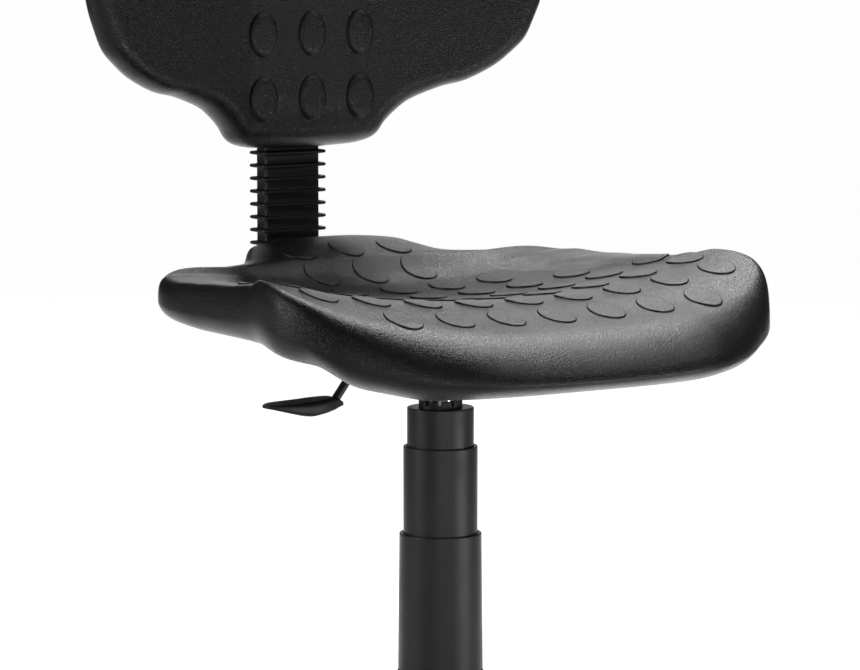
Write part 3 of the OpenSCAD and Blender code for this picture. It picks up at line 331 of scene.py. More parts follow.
def evenly(curve, n):
    """The curve at n points that are equally far apart along it."""
    curve = np.asarray(curve, float)
    run = np.concatenate([[0.0], np.cumsum(np.linalg.norm(np.diff(curve, axis=0), axis=1))])
    s = np.linspace(0, run[-1], n)
    return np.stack([np.interp(s, run, curve[:, i]) for i in range(curve.shape[1])], axis=1)


def soft_table(points, blur):
    """Function of one number: straight lines between the points, smoothed with a bell curve of
    that width."""
    points = np.asarray(points, float)
    x = np.linspace(points[0, 0] - 0.3, points[-1, 0] + 0.3, 1400)
    y = np.interp(x, points[:, 0], points[:, 1])
    step = x[1] - x[0]
    reach = int(4 * blur / step) + 1
    bell = np.exp(-0.5 * (np.arange(-reach, reach + 1) * step / blur) ** 2)
    y = np.convolve(np.pad(y, reach, mode="edge"), bell / bell.sum(), mode="valid")
    return lambda v: np.interp(v, x, y)


def filleted(points, radius, steps=5):
    """Corner points of a profile with each inner corner replaced by a parabola that starts and
    ends at the rounding's distance from it, or at 0.48 of a shorter side."""
    p = np.asarray(points, float)
    radius = np.broadcast_to(np.asarray(radius, float), (len(p),))
    out = [p[:1]]
    t = np.linspace(0, 1, steps)[:, None]
    for i in range(1, len(p) - 1):
        back, on = p[i - 1] - p[i], p[i + 1] - p[i]
        lb, lo = np.linalg.norm(back), np.linalg.norm(on)
        r = min(radius[i], 0.48 * lb, 0.48 * lo)
        s, e = p[i] + back / lb * r, p[i] + on / lo * r
        out.append((1 - t) ** 2 * s + 2 * t * (1 - t) * p[i] + t ** 2 * e)
    out.append(p[-1:])
    return np.vstack(out)


def box_loop(width, depth, radius, per=7):
    """Closed loops of rounded rectangles: at each corner a quarter circle about the point that is
    the radius in from both sides. Width, depth and radius are arrays, one value for each loop."""
    w, d, r = np.broadcast_arrays(*(np.atleast_1d(np.asarray(x, float))
                                    for x in (width, depth, radius)))
    a = np.concatenate([np.linspace(k, k + 1, per) for k in range(4)]) * math.pi / 2
    sx = np.repeat([1, -1, -1, 1], per)
    sy = np.repeat([1, 1, -1, -1], per)
    x = sx * (w / 2 - r)[:, None] + r[:, None] * np.cos(a)
    y = sy * (d / 2 - r)[:, None] + r[:, None] * np.sin(a)
    return np.stack([x, y], axis=-1)


def strip(grid, first=None, last=None):
    """Faces of a grid of rings that close on themselves: a square for each cell, and a fan to a
    point where a first or last point is given. Returns points, squares and triangles."""
    m, n, _ = grid.shape
    k, i = np.meshgrid(np.arange(m - 1), np.arange(n), indexing="ij")
    j = (i + 1) % n
    squares = np.stack([k * n + i, k * n + j, (k + 1) * n + j, (k + 1) * n + i], axis=-1)
    points, tris = [grid.reshape(-1, 3)], []
    ring = np.arange(n)
    if first is not None:
        points.append(np.asarray(first, float).reshape(1, 3))
        tris.append(np.stack([np.full(n, m * n), (ring + 1) % n, ring], axis=-1))
    if last is not None:
        at = m * n + (first is not None)
        points.append(np.asarray(last, float).reshape(1, 3))
        edge = (m - 1) * n
        tris.append(np.stack([np.full(n, at), edge + ring, edge + (ring + 1) % n], axis=-1))
    tris = np.vstack(tris) if tris else np.zeros((0, 3), int)
    return np.vstack(points), squares.reshape(-1, 4), tris


def capped(grid):
    """Faces of a grid of rings, with each end closed on its middle."""
    return strip(grid, grid[0].mean(axis=0), grid[-1].mean(axis=0))


def stacked(loops, middle, heights):
    """Level loops, each moved by the middle and set at its own height."""
    z = np.repeat(np.asarray(heights, float)[:, None, None], loops.shape[1], axis=1)
    return np.concatenate([loops + middle, z], axis=-1)


def facing_out(patch):
    """The patch with its faces turned so that the volume they enclose is above zero."""
    points, squares, tris = patch
    whole = np.vstack([squares[:, [0, 1, 2]], squares[:, [0, 2, 3]], tris])
    a, b, c = (points[whole[:, i]] for i in range(3))
    if np.einsum("ij,ij->i", a, np.cross(b, c)).sum() < 0:
        return points, squares[:, ::-1], tris[:, ::-1]
    return patch


def turned(points, axis, angle, about=(0, 0, 0)):
    """The points turned by an angle about an axis through a point, by the turning matrix."""
    a = np.asarray(axis, float) / np.linalg.norm(axis)
    k = np.array([[0, -a[2], a[1]], [a[2], 0, -a[0]], [-a[1], a[0], 0]])
    m = np.eye(3) + math.sin(angle) * k + (1 - math.cos(angle)) * (k @ k)
    return (np.asarray(points, float) - about) @ m.T + about


def piece(name, patches, material, crease=40.0):
    """One mesh object from closed patches, smooth except where faces meet at more than the crease
    angle."""
    points, squares, tris, at = [], [], [], 0
    for patch in patches:
        p, s, t = facing_out(patch)
        points.append(p)
        squares.append(s + at)
        tris.append(t + at)
        at += len(p)
    points, squares, tris = np.vstack(points), np.vstack(squares), np.vstack(tris)
    mesh = bpy.data.meshes.new(name)
    mesh.vertices.add(len(points))
    mesh.vertices.foreach_set("co", points.ravel())
    corners = np.concatenate([squares.ravel(), tris.ravel()]).astype(np.int32)
    mesh.loops.add(len(corners))
    mesh.loops.foreach_set("vertex_index", corners)
    starts = np.concatenate([np.arange(len(squares)) * 4,
                             len(squares) * 4 + np.arange(len(tris)) * 3])
    mesh.polygons.add(len(starts))
    mesh.polygons.foreach_set("loop_start", starts.astype(np.int32))
    mesh.update(calc_edges=True)
    mesh.validate()
    mesh.shade_smooth()
    mesh.set_sharp_from_angle(angle=math.radians(crease))
    mesh.materials.append(material)
    obj = bpy.data.objects.new(name, mesh)
    bpy.context.scene.collection.objects.link(obj)
    return obj


def lathe(profile, turns=96, centre=(0, 0, 0), axis="z", closed=True):
    """Surface of revolution: radius and height of the profile, with the radius turned about the
    axis. A closed profile comes back to its start, an open one ends on the axis."""
    p = np.asarray(profile, float)
    if closed:
        p = np.vstack([p, p[:1]])
    a = np.arange(turns) / turns * 2 * math.pi
    r, h = p[:, :1], np.repeat(p[:, 1:2], turns, axis=1)
    u, v = r * np.cos(a), r * np.sin(a)
    grid = np.stack({"z": [u, v, h], "y": [v, h, u], "x": [h, u, v]}[axis], axis=-1)
    grid = grid + np.asarray(centre, float)
    if closed:
        return strip(grid)
    way = np.array([axis == "x", axis == "y", axis == "z"], float)
    return strip(grid, *(np.asarray(centre, float) + way * p[row, 1] for row in (0, -1)))


def along(path, loops, side):
    """Loops carried along a path: the first number of a loop goes along the side direction, the
    second along the cross product of path direction and side. Ends close on their middle."""
    path = np.asarray(path, float)
    run = np.gradient(path, axis=0)
    run /= np.linalg.norm(run, axis=1)[:, None]
    side = np.broadcast_to(np.asarray(side, float), path.shape)
    side = side - np.einsum("ij,ij->i", side, run)[:, None] * run
    side = side / np.linalg.norm(side, axis=1)[:, None]
    up = np.cross(run, side)
    loops = np.broadcast_to(loops, (len(path),) + np.shape(loops)[-2:])
    return capped(path[:, None] + loops[..., :1] * side[:, None] + loops[..., 1:] * up[:, None])


# Soft forms: the seat and the backrest.

def four_sides(outline, corners, n):
    """The closed outline cut at the four corners, each side as n + 1 points spaced evenly."""
    at = [int(np.argmin(np.linalg.norm(outline - c, axis=1))) for c in np.asarray(corners, float)]
    out = []
    for k in range(4):
        s, e = at[k], at[(k + 1) % 4]
        idx = np.arange(s, e + 1 if e > s else e + len(outline) + 1) % len(outline)
        out.append(evenly(outline[idx], n + 1))
    return out


def square_map(sides, n):
    """Grid of (n + 1) squared plan points that fills the outline: the point at u, v is the outline
    point in the same direction of the square, times the larger of u and v."""
    u, v = np.meshgrid(np.linspace(-1, 1, n + 1), np.linspace(-1, 1, n + 1), indexing="ij")
    r = np.maximum(np.abs(u), np.abs(v))
    safe = np.where(r > 0, r, 1)
    t = np.linspace(-1, 1, n + 1)
    plan = np.zeros(u.shape + (2,))
    rules = [(-v >= np.abs(u), u / safe, 0), (u >= np.abs(v), v / safe, 1),
             (v >= np.abs(u), -u / safe, 2), (-u >= np.abs(v), -v / safe, 3)]
    for mask, s, k in rules:
        for axis in (0, 1):
            plan[..., axis] = np.where(mask, np.interp(s, t, sides[k][:, axis]), plan[..., axis])
    return plan * r[..., None]


def rim_indices(n):
    """Indices of the border of the square grid, once round, in the order of the four sides."""
    k = np.arange(n)
    rows = np.concatenate([k, np.full(n, n), n - k, np.zeros(n, int)])
    cols = np.concatenate([np.zeros(n, int), k, np.full(n, n), n - k])
    return rows * (n + 1) + cols


def grid_squares(n, base=0):
    """Squares of a grid of n by n cells whose first point has the number of the base."""
    i, j = np.meshgrid(np.arange(n), np.arange(n), indexing="ij")
    a = base + i * (n + 1) + j
    return np.stack([a, a + n + 1, a + n + 2, a + 1], axis=-1).reshape(-1, 4)


def cushion(top, rings, under=None, pole=None):
    """Closed shell: a square grid of points, rings that go on from its border, and either a
    second square grid that takes up the last ring or one point that closes it."""
    n = top.shape[0] - 1
    m, around = rings.shape[0], 4 * n
    points = [top.reshape(-1, 3), rings.reshape(-1, 3)]
    base = (n + 1) ** 2
    ids = np.vstack([rim_indices(n), base + np.arange(m * around).reshape(m, around)])
    squares = [grid_squares(n)]
    tris = np.zeros((0, 3), int)
    if under is not None:
        start = base + m * around
        points.append(under.reshape(-1, 3))
        squares.append(grid_squares(n, start)[:, ::-1])
        ids = np.vstack([ids, start + rim_indices(n)])
    nxt = np.roll(ids, -1, axis=1)
    squares.append(np.stack([ids[:-1], ids[1:], nxt[1:], nxt[:-1]], axis=-1).reshape(-1, 4))
    if pole is not None:
        points.append(np.asarray(pole, float).reshape(1, 3))
        tris = np.stack([nxt[-1], ids[-1], np.full(around, base + m * around)], axis=-1)
    return np.vstack(points), np.vstack(squares), tris


def rounded(t, power=2.0):
    """Quarter of a superellipse: 0 at the rim, 1 where the rounding ends, and
    (1 - (1 - t) ** power) ** (1 / power) between them."""
    return np.clip(1 - (1 - np.clip(t, 0, 1)) ** power, 0, 1) ** (1 / power)


def inward(p, d):
    """Outline points moved in by a distance towards the middle."""
    size = np.linalg.norm(p, axis=-1, keepdims=True)
    return p * np.clip(1 - d / size, 0, None)


def mirrored(half):
    """The right half of an outline, and its mirror image back to the start."""
    half = np.asarray(half, float)
    other = half[-2:0:-1] * [-1, 1]
    return np.vstack([half, other])


# The seat from above, as shares of its half width and of its reach to the front or the rear.
SEAT_OUTLINE = [[0, -1.003], [0.26, -0.997], [0.487, -0.965], [0.655, -0.885], [0.805, -0.792],
                [0.948, -0.675], [1.042, -0.5], [1.01, -0.26], [1, 0], [0.993, 0.254],
                [0.951, 0.457], [0.854, 0.595], [0.711, 0.667], [0.555, 0.7], [0.443, 0.76],
                [0.375, 0.856], [0.307, 0.949], [0.172, 0.994], [0, 1]]
SEAT_CORNERS = [[-0.82, -0.798], [0.82, -0.798], [0.854, 0.595], [-0.854, 0.595]]
SEAT_CELLS = 150
# Tables along the seat, by the share of its reach from -1 at the front to 1 at the rear: the line
# along its middle, the rise of its sides, the distance of the crease from the middle in metres,
# the lift of the rim outside the crease, and the lower edge.
SEAT_LINE = [[-1.05, -0.54], [-0.95, -0.38], [-0.847, -0.205], [-0.785, -0.105], [-0.748, -0.045],
             [-0.674, 0.06], [-0.624, 0.15], [-0.57, 0.225], [-0.488, 0.275], [-0.4, 0.275],
             [-0.31, 0.205], [-0.21, 0.14], [-0.112, 0.06], [0.096, 0], [0.315, 0.045],
             [0.43, 0.14], [0.528, 0.34], [0.63, 0.7], [0.72, 0.845], [0.8, 0.97], [0.88, 1.06],
             [1.05, 0.9]]
SEAT_RISE = [[-1.05, 0.8], [-0.95, 0.75], [-0.826, 0.6], [-0.748, 0.45], [-0.669, 0.45],
             [-0.57, 0.62], [-0.488, 0.74], [-0.31, 1.0], [-0.112, 1.0], [0.096, 0.95],
             [0.315, 0.88], [0.45, 0.75], [0.528, 0.45], [0.62, 0.0], [0.72, -1.3], [0.82, -1.95],
             [1.05, -2.1]]
SEAT_CREASE = [[-0.6, 0.26], [-0.45, 0.245], [-0.3, 0.212], [-0.27, 0.197], [-0.107, 0.184],
               [0.066, 0.171], [0.213, 0.150], [0.365, 0.130], [0.53, 0.111], [0.62, 0.12],
               [0.7, 0.2]]
SEAT_LIFT = [[-0.5, 0], [-0.3, 0.15], [-0.11, 0.45], [0.066, 0.75], [0.213, 0.95], [0.365, 1],
             [0.45, 1], [0.53, 0.62], [0.6, 0.25], [0.68, 0]]
SEAT_EDGE = [[-1.05, -0.15], [-0.86, -0.2], [-0.7, 0.08], [-0.61, 0.53], [-0.47, 0.75],
             [-0.33, 0.89], [-0.1, 0.91], [0.1, 0.92], [0.24, 0.96], [0.36, 0.99], [0.44, 1.02],
             [0.5, 1.05], [0.8, 1.2], [1.05, 1.2]]
# Shares of a rounding's width, or of the way in under the seat, at which its rings lie.
SEAT_UPPER_STEPS = (0.86, 0.72, 0.60, 0.49, 0.39, 0.30, 0.22, 0.15, 0.09, 0.045, 0.018, 0.005, 0.0)
SEAT_LOWER_STEPS = (0.005, 0.02, 0.05, 0.1, 0.17, 0.26, 0.37, 0.5, 0.65, 0.82, 1.0)
SEAT_UNDER_STEPS = (0.88, 0.75, 0.62, 0.49, 0.37, 0.26, 0.16, 0.08, 0.03, 0.0)
# Rows of nubs: the distance from the column, and how many nubs lie to each side of the middle.
SEAT_NUB_ROWS = [(-0.163, 3), (-0.118, 4), (-0.075, 4), (-0.028, 4), (0.018, 3), (0.062, 2),
                 (0.104, 1), (0.142, 1)]
# The backrest from the front, as shares of its half width and of its height.
BACK_OUTLINE = [[0, 0.003], [0.15, 0.006], [0.245, 0.012], [0.307, 0.028], [0.347, 0.065],
                [0.398, 0.1], [0.457, 0.129], [0.575, 0.161], [0.675, 0.178], [0.785, 0.216],
                [0.86, 0.258], [0.91, 0.295], [0.945, 0.348], [0.977, 0.411], [1, 0.5],
                [0.997, 0.6], [0.965, 0.71], [0.893, 0.82], [0.765, 0.912], [0.58, 0.968],
                [0.33, 0.993], [0, 1]]
BACK_CORNERS = [[-0.862, 0.25], [0.862, 0.25], [0.83, 0.87], [-0.83, 0.87]]
BACK_CELLS = 130
BACK_STEPS = (0.84, 0.68, 0.54, 0.41, 0.30, 0.20, 0.12, 0.055, 0.015, 0.0)
# Edge of a nub, steep or gentle: how far in from the rim, and the share of its rise.
NUB_STEEP = [[0, -1.2], [0, 0.0], [0, 0.45], [0.008, 0.72], [0.025, 0.90], [0.055, 0.985],
             [0.10, 1.0]]
NUB_GENTLE = [[0, -1.2], [0, 0.0], [0.008, 0.28], [0.026, 0.56], [0.048, 0.78], [0.072, 0.93],
              [0.10, 1.0]]
NUB_MIDDLE = [[0.78, 1.03], [0.5, 1.05], [0.24, 1.06]]


def seat_rules(c):
    """Height of the top and of the lower edge. The top is the dish height, plus the line along
    the middle times the tongue rise, plus the side rise times the distance from the middle to
    the power 2.2, which stops growing at the crease. Outside the crease the rim climbs by the
    rim rise times its lift, as one less the remaining share of the way to the power 2.5."""
    line, rise, edge, crease, lift = (
        soft_table(t, 0.018) for t in (SEAT_LINE, SEAT_RISE, SEAT_EDGE, SEAT_CREASE, SEAT_LIFT))

    def at(y):
        """Share of the reach to the front or the rear."""
        return np.where(y < 0, y / c.front, y / c.rear)

    def top(x, y):
        """Height of the top."""
        t, out = at(y), np.abs(x)
        climb = np.clip((out - crease(t)) / np.maximum(c.rim_place - crease(t), 0.01), 0, 1)
        return (c.dish + c.tongue_rise * line(t)
                + c.side_rise * rise(t) * (np.minimum(out, crease(t)) / c.side_place) ** 2.2
                + c.rim_rise * lift(t) * (1 - (1 - climb) ** 2.5))

    def low(y):
        """Height of the lower edge."""
        return c.front_edge + c.edge_lift * edge(at(y))

    return top, low


def pads(places, half, reach, rise, soft, surface):
    """Raised ovals: at each place an ellipse whose edge climbs to the rise and goes on to a
    slightly domed middle, laid on the surface, a function of both places and the height. A
    larger soft value makes the edge wider."""
    t = np.linspace(0, 2 * math.pi, 56, endpoint=False)
    wall, middle = np.array(NUB_GENTLE if soft > 2 else NUB_STEEP), np.array(NUB_MIDDLE)
    size = np.concatenate([1 - wall[:, :1] * soft, middle[:, :1] * (1 - 0.1 * soft)])
    high = rise * np.concatenate([wall[:, 1:], middle[:, 1:]])
    out = []
    for px, py in places:
        grid = surface(px + half * size * np.cos(t), py + reach * size * np.sin(t), high)
        pole = surface(np.array([[px]]), np.array([[py]]), high[-1:])
        out.append(strip(grid, grid[0].mean(axis=0), pole[0, 0]))
    return out


# Finishes, named for the real materials.

def linear(text):
    """sRGB hex value as the linear colour that a shader takes."""
    value = np.array([int(text[i:i + 2], 16) for i in (1, 3, 5)]) / 255
    value = np.where(value <= 0.04045, value / 12.92, ((value + 0.055) / 1.055) ** 2.4)
    return (*value.tolist(), 1.0)


def fill(tree, made, inputs):
    """Sets inputs of a node. Each is a constant, or the output socket that feeds it."""
    for key, value in inputs.items():
        if isinstance(value, bpy.types.NodeSocket):
            tree.links.new(value, made.inputs[key])
        else:
            made.inputs[key].default_value = value


def add(tree, kind, inputs=None, **settings):
    """One node with its settings and its inputs."""
    made = tree.nodes.new(kind)
    for key, value in settings.items():
        setattr(made, key, value)
    fill(tree, made, inputs or {})
    return made


def blank(name):
    """A material with a Principled shader. Returns the material, its tree, the shader and the
    socket that patterns take their place from."""
    material = bpy.data.materials.new(name)
    material.use_nodes = True
    tree = material.node_tree
    tree.nodes.clear()
    shader = add(tree, "ShaderNodeBsdfPrincipled")
    add(tree, "ShaderNodeOutputMaterial", {"Surface": shader.outputs["BSDF"]})
    place = add(tree, "ShaderNodeTexCoord").outputs["Object"]
    return material, tree, shader, place


def pu_skin(look):
    """Integral-skin polyurethane, cast in a grained mould: satin black with a leather-like
    grain, and slightly shinier where hands and legs rub. The grooves between its cells are
    painted darker, as painted shade. The real cells are about a millimetre wide, and are drawn
    half as wide again so that they show."""
    material, tree, shader, place = blank("pu_integral_skin")
    cell = add(tree, "ShaderNodeTexVoronoi",
               {"Vector": place, "Scale": 1 / look.grain, "Randomness": 0.95},
               feature="DISTANCE_TO_EDGE")
    # Grooves of the grain: they set the bump, and where the painted shade goes.
    shaded_groove = add(tree, "ShaderNodeMapRange",
                 {"Value": cell.outputs["Distance"], "From Min": 0.0, "From Max": 0.32},
                 interpolation_type="SMOOTHSTEP")
    fine = add(tree, "ShaderNodeTexNoise",
               {"Vector": place, "Scale": 0.8 / look.grain, "Detail": 2.0})
    rubbed = add(tree, "ShaderNodeTexNoise",
                 {"Vector": place, "Scale": 1 / look.rubbed, "Detail": 3.0})
    height = add(tree, "ShaderNodeMath", {0: shaded_groove.outputs["Result"], 1: fine.outputs["Fac"]},
                 operation="ADD")
    bump = add(tree, "ShaderNodeBump",
               {"Height": height.outputs[0], "Strength": 0.6, "Distance": look.grain_depth})
    rough = add(tree, "ShaderNodeMapRange", {"Value": rubbed.outputs["Fac"], "From Min": 0.3,
                                             "From Max": 0.7, "To Min": 0.33, "To Max": 0.42})
    # Painted shade: the skin's colour goes over to the darker colour in the grooves of the grain.
    tone = add(tree, "ShaderNodeMixRGB",
               {"Fac": shaded_groove.outputs["Result"], "Color1": linear(look.shaded_groove),
                "Color2": linear(look.skin)})
    # The coat is the release lacquer that such parts are cast in: a thin clear film.
    fill(tree, shader, {"Base Color": tone.outputs[0], "Roughness": rough.outputs["Result"],
                        "Normal": bump.outputs["Normal"], "Specular IOR Level": 0.24,
                        "Coat Weight": 0.52, "Coat Roughness": 0.24,
                        "Coat Normal": bump.outputs["Normal"]})
    return material


def moulded(name, colour, roughness, texture, depth):
    """Moulded plastic, rubber or powder coat: an even colour, a texture with grains of the given
    size and depth, and a roughness that drifts a little over three centimetres."""
    material, tree, shader, place = blank(name)
    fine = add(tree, "ShaderNodeTexNoise",
               {"Vector": place, "Scale": 1 / texture, "Detail": 2.0})
    broad = add(tree, "ShaderNodeTexNoise", {"Vector": place, "Scale": 1 / 0.03, "Detail": 2.0})
    bump = add(tree, "ShaderNodeBump",
               {"Height": fine.outputs["Fac"], "Strength": 0.5, "Distance": depth})
    rough = add(tree, "ShaderNodeMapRange",
                {"Value": broad.outputs["Fac"], "From Min": 0.3, "From Max": 0.7,
                 "To Min": roughness - 0.04, "To Max": roughness + 0.05})
    base = np.array(linear(colour)[:3])
    tone = add(tree, "ShaderNodeMixRGB", {"Fac": broad.outputs["Fac"],
                                          "Color1": (*(base * 0.9), 1.0),
                                          "Color2": (*(base * 1.1), 1.0)})
    fill(tree, shader, {"Base Color": tone.outputs[0], "Roughness": rough.outputs["Result"],
                        "Normal": bump.outputs["Normal"], "IOR": 1.5})
    return material


def bright_metal(name, colour, roughness, texture, depth):
    """Plated, ground or turned metal: a mirror-like base with fine marks of the given size and
    depth, which scatter the light."""
    material, tree, shader, place = blank(name)
    marks = add(tree, "ShaderNodeTexNoise",
                {"Vector": place, "Scale": 1 / texture, "Detail": 3.0})
    bump = add(tree, "ShaderNodeBump",
               {"Height": marks.outputs["Fac"], "Strength": 0.4, "Distance": depth})
    rough = add(tree, "ShaderNodeMapRange",
                {"Value": marks.outputs["Fac"], "From Min": 0.3, "From Max": 0.7,
                 "To Min": roughness - 0.05, "To Max": roughness + 0.07})
    base = np.array(linear(colour)[:3])
    tone = add(tree, "ShaderNodeMixRGB", {"Fac": marks.outputs["Fac"],
                                          "Color1": (*(base * 0.88), 1.0),
                                          "Color2": (*base, 1.0)})
    fill(tree, shader, {"Base Color": tone.outputs[0], "Roughness": rough.outputs["Result"],
                        "Normal": bump.outputs["Normal"], "Metallic": 1.0})
    return material


def plywood(look):
    """Birch plywood, rotary cut and sanded: pale veneers 1.6 mm thick with long grain across the
    board, and thin darker glue lines."""
    material, tree, shader, place = blank("birch_plywood")
    layers = add(tree, "ShaderNodeTexWave",
                 {"Vector": place, "Scale": 0.5 / look.veneer / (2 * math.pi), "Distortion": 0.4},
                 wave_type="BANDS", bands_direction="Z")
    stretch = add(tree, "ShaderNodeMapping", {"Vector": place, "Scale": (60.0, 900.0, 900.0)})
    grain = add(tree, "ShaderNodeTexNoise",
                {"Vector": stretch.outputs["Vector"], "Scale": 1.0, "Detail": 3.0})
    mixed = add(tree, "ShaderNodeMath", {0: layers.outputs["Fac"], 1: grain.outputs["Fac"]},
                operation="MULTIPLY")
    tone = add(tree, "ShaderNodeMixRGB", {"Fac": mixed.outputs[0], "Color1": linear(look.glue),
                                          "Color2": linear(look.ply)})
    bump = add(tree, "ShaderNodeBump",
               {"Height": grain.outputs["Fac"], "Strength": 0.3, "Distance": 0.0001})
    fill(tree, shader, {"Base Color": tone.outputs[0], "Normal": bump.outputs["Normal"],
                        "Roughness": 0.65})
    return material


def finish(name):
    """The material of that name, made when it is first asked for. The last two numbers of the
    moulded ones and metals are the size and depth of their texture in metres. A spark-eroded
    mould leaves grains of a tenth of a millimetre, and plating and grinding leave finer marks:
    all are drawn some times coarser, so that they show."""
    if name in bpy.data.materials:
        return bpy.data.materials[name]
    look = bpy.context.scene.workshop_chair.look
    makers = {
        "pu_integral_skin": lambda: pu_skin(look),
        "birch_plywood": lambda: plywood(look),
        # Polypropylene, injection moulded: even satin, a soft vertical highlight on round walls.
        "polypropylene_satin": lambda: moulded(name, look.plastic, 0.40, 0.0006, 0.00003),
        # Glass-filled nylon, injection moulded: duller than the cover, with a coarser texture.
        "nylon_moulded": lambda: moulded(name, look.nylon, 0.46, 0.0009, 0.00006),
        # Polyamide wheel, injection moulded: smooth sides, dulled by dust and rolling.
        "polyamide_wheel": lambda: moulded(name, look.wheel, 0.40, 0.0012, 0.00004),
        # Chloroprene rubber, compression moulded: dark, with narrow highlights on the ribs.
        "chloroprene_rubber": lambda: moulded(name, look.rubber, 0.42, 0.0012, 0.00004),
        # Powder coat on steel: orange-peel skin a few millimetres wide over a satin black.
        "powder_coat_black": lambda: moulded(name, look.paint, 0.40, 0.0025, 0.00010),
        # Acetal, natural and turned: an ivory white with a waxy gloss.
        "acetal_natural": lambda: moulded(name, look.acetal, 0.38, 0.0008, 0.00003),
        # Zinc plate on steel: pale grey, dulled in patches about a millimetre wide.
        "zinc_plate": lambda: bright_metal(name, look.zinc, 0.34, 0.0011, 0.00004),
        # Hard chrome on a ground rod: bright, with faint grinding marks.
        "ground_chrome": lambda: bright_metal(name, look.chrome, 0.14, 0.0007, 0.00001),
        # Brass, turned: warm and bright, with fine turning marks.
        "turned_brass": lambda: bright_metal(name, look.brass, 0.26, 0.0008, 0.00002),
    }
    return makers[name]()


def dress(material, *names):
    """Gives CAD nodes a material in each of their slots."""
    for n in names:
        obj = NODES[n]
        if not obj.material_slots:
            obj.data.materials.append(finish(material))
        for entry in obj.material_slots:
            entry.material = finish(material)


def settled(obj, body, nodes=()):
    """Puts a finished piece on its body, in place of its CAD nodes."""
    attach(obj, body)
    if nodes:
        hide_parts(*nodes)
    return obj


# Operators: one for each piece or group of like pieces, and one for the studio.

class CHAIR_OT_seat(bpy.types.Operator):
    """Builds the dished seat cushion with its rear tongue and its rows of oval nubs"""
    bl_idname = "chair.seat"
    bl_label = "Seat cushion"

    def execute(self, context):
        c = context.scene.workshop_chair.seat
        top, low = seat_rules(c)

        def sized(points):
            """Shares of the half width and of the reach to the front or the rear, in metres."""
            p = np.asarray(points, float)
            y = np.where(p[:, 1] < 0, p[:, 1] * c.front, p[:, 1] * c.rear)
            return np.stack([p[:, 0] * c.half_width, y], axis=1)

        def at_front(p, side, front, start=0.6, reach=0.32):
            """The side value, which eases into the front value from the start share of the
            front reach on, over the reach share."""
            return side + (front - side) * ease((-p[..., 1:] / c.front - start) / reach)

        outline = sized(through(mirrored(SEAT_OUTLINE), 40, closed=True))
        sides = four_sides(outline, sized(SEAT_CORNERS), SEAT_CELLS)
        edge = np.vstack([s[:-1] for s in sides])
        early = (0.45, 0.25)
        top_w = at_front(edge, c.top_round, c.front_round)
        low_w = at_front(edge, c.low_round, c.front_round, *early)
        top_n = at_front(edge, c.top_square, c.front_top_square)[:, 0]
        low_n = at_front(edge, c.low_square, c.front_low_square, *early)[:, 0]
        plan = square_map([inward(s, at_front(s, c.top_round, c.front_round)) for s in sides],
                          SEAT_CELLS)
        upper = np.stack([plan[..., 0], plan[..., 1], top(plan[..., 0], plan[..., 1])], axis=-1)

        # Edge: from the widest line in to the top, and in to the lower edge.
        foot = low(edge[:, 1])
        split = at_front(edge, c.parting, c.front_parting)[:, 0]
        mid = foot + split * (top(edge[:, 0], edge[:, 1]) - foot)
        rings = []
        for s in SEAT_UPPER_STEPS:
            q = inward(edge, s * top_w)
            rise = (top(q[:, 0], q[:, 1]) - mid) * rounded(s, top_n)
            rings.append(np.column_stack([q, mid + rise]))
        for s in SEAT_LOWER_STEPS:
            q = inward(edge, s * low_w)
            rings.append(np.column_stack([q, mid - (mid - foot) * rounded(s, low_n)]))

        # Underside: flat around the board, out to a superellipse that is broad at the front and
        # narrow at the rear, and from there up to the lower edge with the power 0.7.
        size = np.linalg.norm(edge, axis=1, keepdims=True)
        way = edge / size
        rear = ease(way[:, 1:] + 0.5)
        power = 4 - 1.6 * rear
        x_flat = c.board_half + c.board_margin - c.rear_narrow * rear
        y_flat = np.where(way[:, 1:] < 0, c.board_front + c.board_margin,
                          c.board_rear + 2 * c.board_margin)
        near = ((np.abs(way[:, :1]) / x_flat) ** power
                + (np.abs(way[:, 1:]) / y_flat) ** power) ** (-1 / power)
        for t in SEAT_UNDER_STEPS:
            out = near + (size - low_w - near) * t
            rings.append(np.column_stack([way * out, c.under + (foot - c.under) * t ** 0.7]))
        for t in (0.75, 0.5, 0.25):
            rings.append(np.column_stack([way * near * t, np.full(len(way), c.under)]))
        body = cushion(upper, np.array(rings), pole=(0, 0, c.under))

        angle = np.arctan2(edge[:, 1], edge[:, 0])

        def on_seat(x, y, h):
            """Point on the top and its rounding, found along the line from the middle."""
            turn = np.arctan2(y, x)
            rim, wide, square, level = (np.interp(turn, angle, v, period=2 * math.pi)
                                        for v in (size[:, 0], top_w[:, 0], top_n, mid))
            z = level + (top(x, y) - level) * rounded((rim - np.hypot(x, y)) / wide, square)
            return np.stack([x, y, z + h], axis=-1)

        places = [(k * c.nub_pitch, y) for y, last in SEAT_NUB_ROWS
                  for k in range(-last, last + 1)]
        nubs = pads(places, c.nub_half, c.nub_reach, c.nub_rise, 1.0, on_seat)
        seat = piece("seat_cushion", [body, *nubs], finish("pu_integral_skin"), crease=60)
        settled(seat, "carriage", ["seat_pad"])
        return {"FINISHED"}


